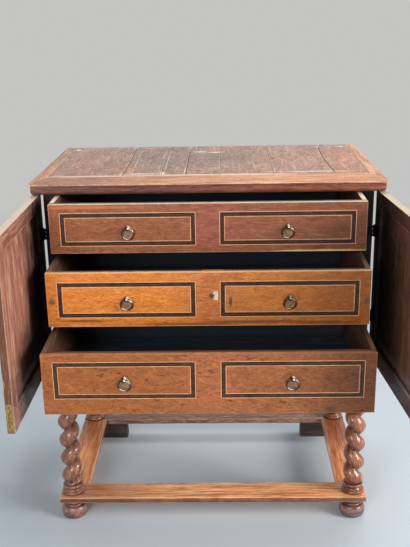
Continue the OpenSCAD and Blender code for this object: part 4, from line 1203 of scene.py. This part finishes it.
def plate_outline(count=60):
    """Points round the plate, seen from the front, from its middle."""
    tangent = math.degrees(math.asin(PLATE_RADIUS / PLATE_PEAK))
    points = []
    for i in range(count):
        angle = 90 + 360 * i / count
        from_top = abs((angle - 90 + 180) % 360 - 180)
        if from_top < 90 - tangent:
            reach = PLATE_RADIUS / math.cos(math.radians(90 - tangent - from_top))
        else:
            reach = PLATE_RADIUS
        points.append((reach * math.cos(math.radians(angle)),
                       reach * math.sin(math.radians(angle))))
    return points


def pull_plate(across, face, up):
    """The pointed plate, whose (scale, height) pairs step in from its edge over a rim to a
    dished middle."""
    steps = ((1.0, 0.0), (1.0, 0.7), (0.96, 1.3), (0.9, PLATE_THICK), (0.84, 1.1), (0.8, 0.8),
             (0.4, 1.0), (0.05, 1.3))
    return skin([[at(across + x * scale, face - height, up - PLATE_DROP + z * scale)
                  for x, z in plate_outline()] for scale, height in steps])


def plate_rim(across, face, up):
    """A raised rim along the plate's upper edge, on both sides of its point."""
    rows = []
    outline = plate_outline(120)
    for x, z in outline[-RIM_REACH:] + outline[:RIM_REACH + 1]:
        length = math.hypot(x, z)
        side_x, side_z = x / length, z / length
        centre_x, centre_z = x - side_x * RIM_THICK, z - side_z * RIM_THICK
        rows.append([at(across + centre_x + side_x * RIM_THICK * cosine,
                        face - PLATE_THICK - RIM_THICK * sine * 0.9,
                        up - PLATE_DROP + centre_z + side_z * RIM_THICK * cosine)
                     for cosine, sine in circle(10)])
    return skin(rows)


print("plate outline", len(plate_outline()), "points")

# %% The knob and the ring
RING_RADIUS, WIRE, PULL_OUT = 16.0, 2.1, 11.0
KNOB_PROFILE = ((0.9, 6.2), (1.8, 6.0), (2.6, 4.6), (3.6, 3.6), (4.8, 3.4), (5.6, 3.9), (6.5, 4.7),
                (8.2, 5.35), (11.0, 5.5), (13.0, 5.1), (14.8, 3.9), (16.0, 2.0), (16.4, 0.5))


def knob(across, face, up):
    """The turned knob that stands out of the plate and holds the ring."""
    rows = [[at(across + radius * cosine, face - out, up + radius * sine)
             for cosine, sine in circle(28)] for out, radius in KNOB_PROFILE]
    return skin([list(reversed(row)) for row in rows])


def ring(across, face, up, lean, around=56):
    """The ring, thinner at the knob and thickest at its foot where fingers pull."""
    rows = []
    for i in range(around + 1):
        turn = 2 * math.pi * i / around
        drop = RING_RADIUS - RING_RADIUS * math.cos(turn)
        wire = WIRE * (0.86 + 0.14 * (1 - math.cos(turn)) / 2)
        row = []
        for cosine, sine in circle(14):
            reach, out = wire * cosine, wire * sine
            x = (RING_RADIUS + reach) * math.sin(turn)
            down = drop - reach * math.cos(turn)
            forth = down * math.sin(lean) - out * math.cos(lean)
            row.append(at(across + x, face - PULL_OUT + forth,
                          up - down * math.cos(lean) - out * math.sin(lean)))
        rows.append(row)
    points, faces = skin(rows)
    return points, faces[:-2]


print("knob stands", KNOB_PROFILE[-1][0], "mm out")

# %% Put the pulls in place
REST_GAP = 0.4
LEAN = math.asin((PULL_OUT - WIRE - PLATE_THICK - REST_GAP) / (2 * RING_RADIUS))
for number in (1, 2, 3):
    face = box_of(f"drawer_{number}_inlay")[0].y
    plates, bright_parts = [], []
    for side in ("left", "right"):
        ring_low, ring_high = box_of(f"ring_{number}_{side}")
        across, up = (ring_low.x + ring_high.x) / 2, ring_high.z - WIRE
        plates.append(pull_plate(across, face, up))
        bright_parts += [plate_rim(across, face, up), knob(across, face, up)]
        piece_of(f"cast_ring_{number}_{side}", [ring(across, face, up, LEAN)], ring_metal,
                 f"ring_{number}_{side}", [f"ring_{number}_{side}"])
    piece_of(f"cast_plates_{number}", plates, pull_metal, f"drawer_{number}",
             [f"drawer_{number}_pull_plates"], sharp=30)
    piece_of(f"cast_knobs_{number}", bright_parts, ring_metal,
             f"drawer_{number}", [f"drawer_{number}_pull_plates"])
    print("drawer", number, "pulls at", round(across), "mm")

# %% [markdown]
# ## The floor
#
# A plain pale floor that runs on past the edge of the picture also serves as the
# background, because the camera looks down on it. Far off it fades into the
# backdrop's own colour, but only where the camera or a mirror sees it.

# %% Lay the floor
FLOOR_REACH, BACKDROP = 1500, shade(196, 197, 195)
FADE_START, FADE_END = 1.6, 4.5
floor_recipe = Finish("pale floor")
mottle = floor_recipe.noise(floor_recipe.place, 900, 3, 0.5)
floor_recipe.feed(floor_recipe.shader.inputs["Base Color"],
                  floor_recipe.blend(mottle, shade(186, 198, 208), shade(204, 212, 218)))
floor_recipe.shader.inputs["Roughness"].default_value = 0.85
floor_recipe.shader.inputs["Specular IOR Level"].default_value = 0.15
distance = floor_recipe.vector("LENGTH", floor_recipe.place, output="Value")
far_off = floor_recipe.times(floor_recipe.seen(),
                             floor_recipe.span(distance, FADE_START, FADE_END))
glow = floor_recipe.add("ShaderNodeEmission", {"Color": BACKDROP})
floor_mix = floor_recipe.add("ShaderNodeMixShader", {
    0: far_off, 1: floor_recipe.shader.outputs[0], 2: glow.outputs[0]})
floor_recipe.feed(floor_recipe.output.inputs["Surface"], floor_mix.outputs[0])
floor_mesh = bpy.data.meshes.new("floor")
floor_mesh.from_pydata([(x * FLOOR_REACH, y * FLOOR_REACH, 0)
                        for x, y in ((-1, -1), (1, -1), (1, 1), (-1, 1))], [], [(0, 1, 2, 3)])
floor_mesh.materials.append(floor_recipe.owner)
floor = bpy.data.objects.new("floor", floor_mesh)
bpy.context.scene.collection.objects.link(floor)
print("floor", 2 * FLOOR_REACH / 1000, "km wide")

# %% [markdown]
# ## The light
#
# Daylight falls on the real cabinet from the right and in front. It reaches the
# inner face of the left door, while the right door shades the drawers beside it.
# A wide lamp on that side does the same here. A weaker one in front opens the
# shadows, a small low one puts glints on the turned legs, and one above lights
# the top. One lamp would light it all too, but its shadows would be too deep.

# %% Hang the lamps
def lamp(name, position, target, size, power, colour=(1, 1, 1)):
    """A round soft lamp that aims at a target. Its size is in metres, its power in watts."""
    data = bpy.data.lights.new(name, "AREA")
    data.shape, data.size, data.energy, data.color = "DISK", size, power, colour
    hung = bpy.data.objects.new(name, data)
    hung.location = at(*position)
    aim = at(*target) - hung.location
    hung.rotation_euler = aim.to_track_quat("-Z", "Y").to_euler()
    bpy.context.scene.collection.objects.link(hung)


lamp("window light", (5700, -2300, 2950), (0, 100, 700), 2.5, 425, (1, 0.97, 0.93))
lamp("front fill", (-1300, -3300, 1900), (0, 0, 600), 1.3, 60, (0.97, 0.98, 1))
lamp("low glint", (2600, -1700, 650), (-200, 0, 350), 0.6, 13, (1, 0.98, 0.95))
lamp("ceiling light", (700, 1300, 4200), (0, 200, 900), 2.2, 70, (1, 0.99, 0.97))

# %% [markdown]
# ## The sky
#
# A pale sky all round fills the deepest shadows. The camera and mirrors see a
# plain backdrop instead of it, so the sky's strength can be set for its light
# alone. The Standard view shows colours as they are written.

# %% Set the sky and the backdrop
SKY_STRENGTH = 0.4
world = bpy.data.worlds.new("sky")
bpy.context.scene.world = world
sky_recipe = Recipe(world)
sky = sky_recipe.add("ShaderNodeBackground", {
    "Color": shade(236, 240, 244), "Strength": SKY_STRENGTH})
backdrop = sky_recipe.add("ShaderNodeBackground", {"Color": BACKDROP, "Strength": 1})
sky_mix = sky_recipe.add("ShaderNodeMixShader", {
    0: sky_recipe.seen(), 1: sky.outputs[0], 2: backdrop.outputs[0]})
sky_recipe.add("ShaderNodeOutputWorld", {"Surface": sky_mix.outputs[0]})
bpy.context.scene.view_settings.view_transform = "Standard"
print("sky strength", SKY_STRENGTH)
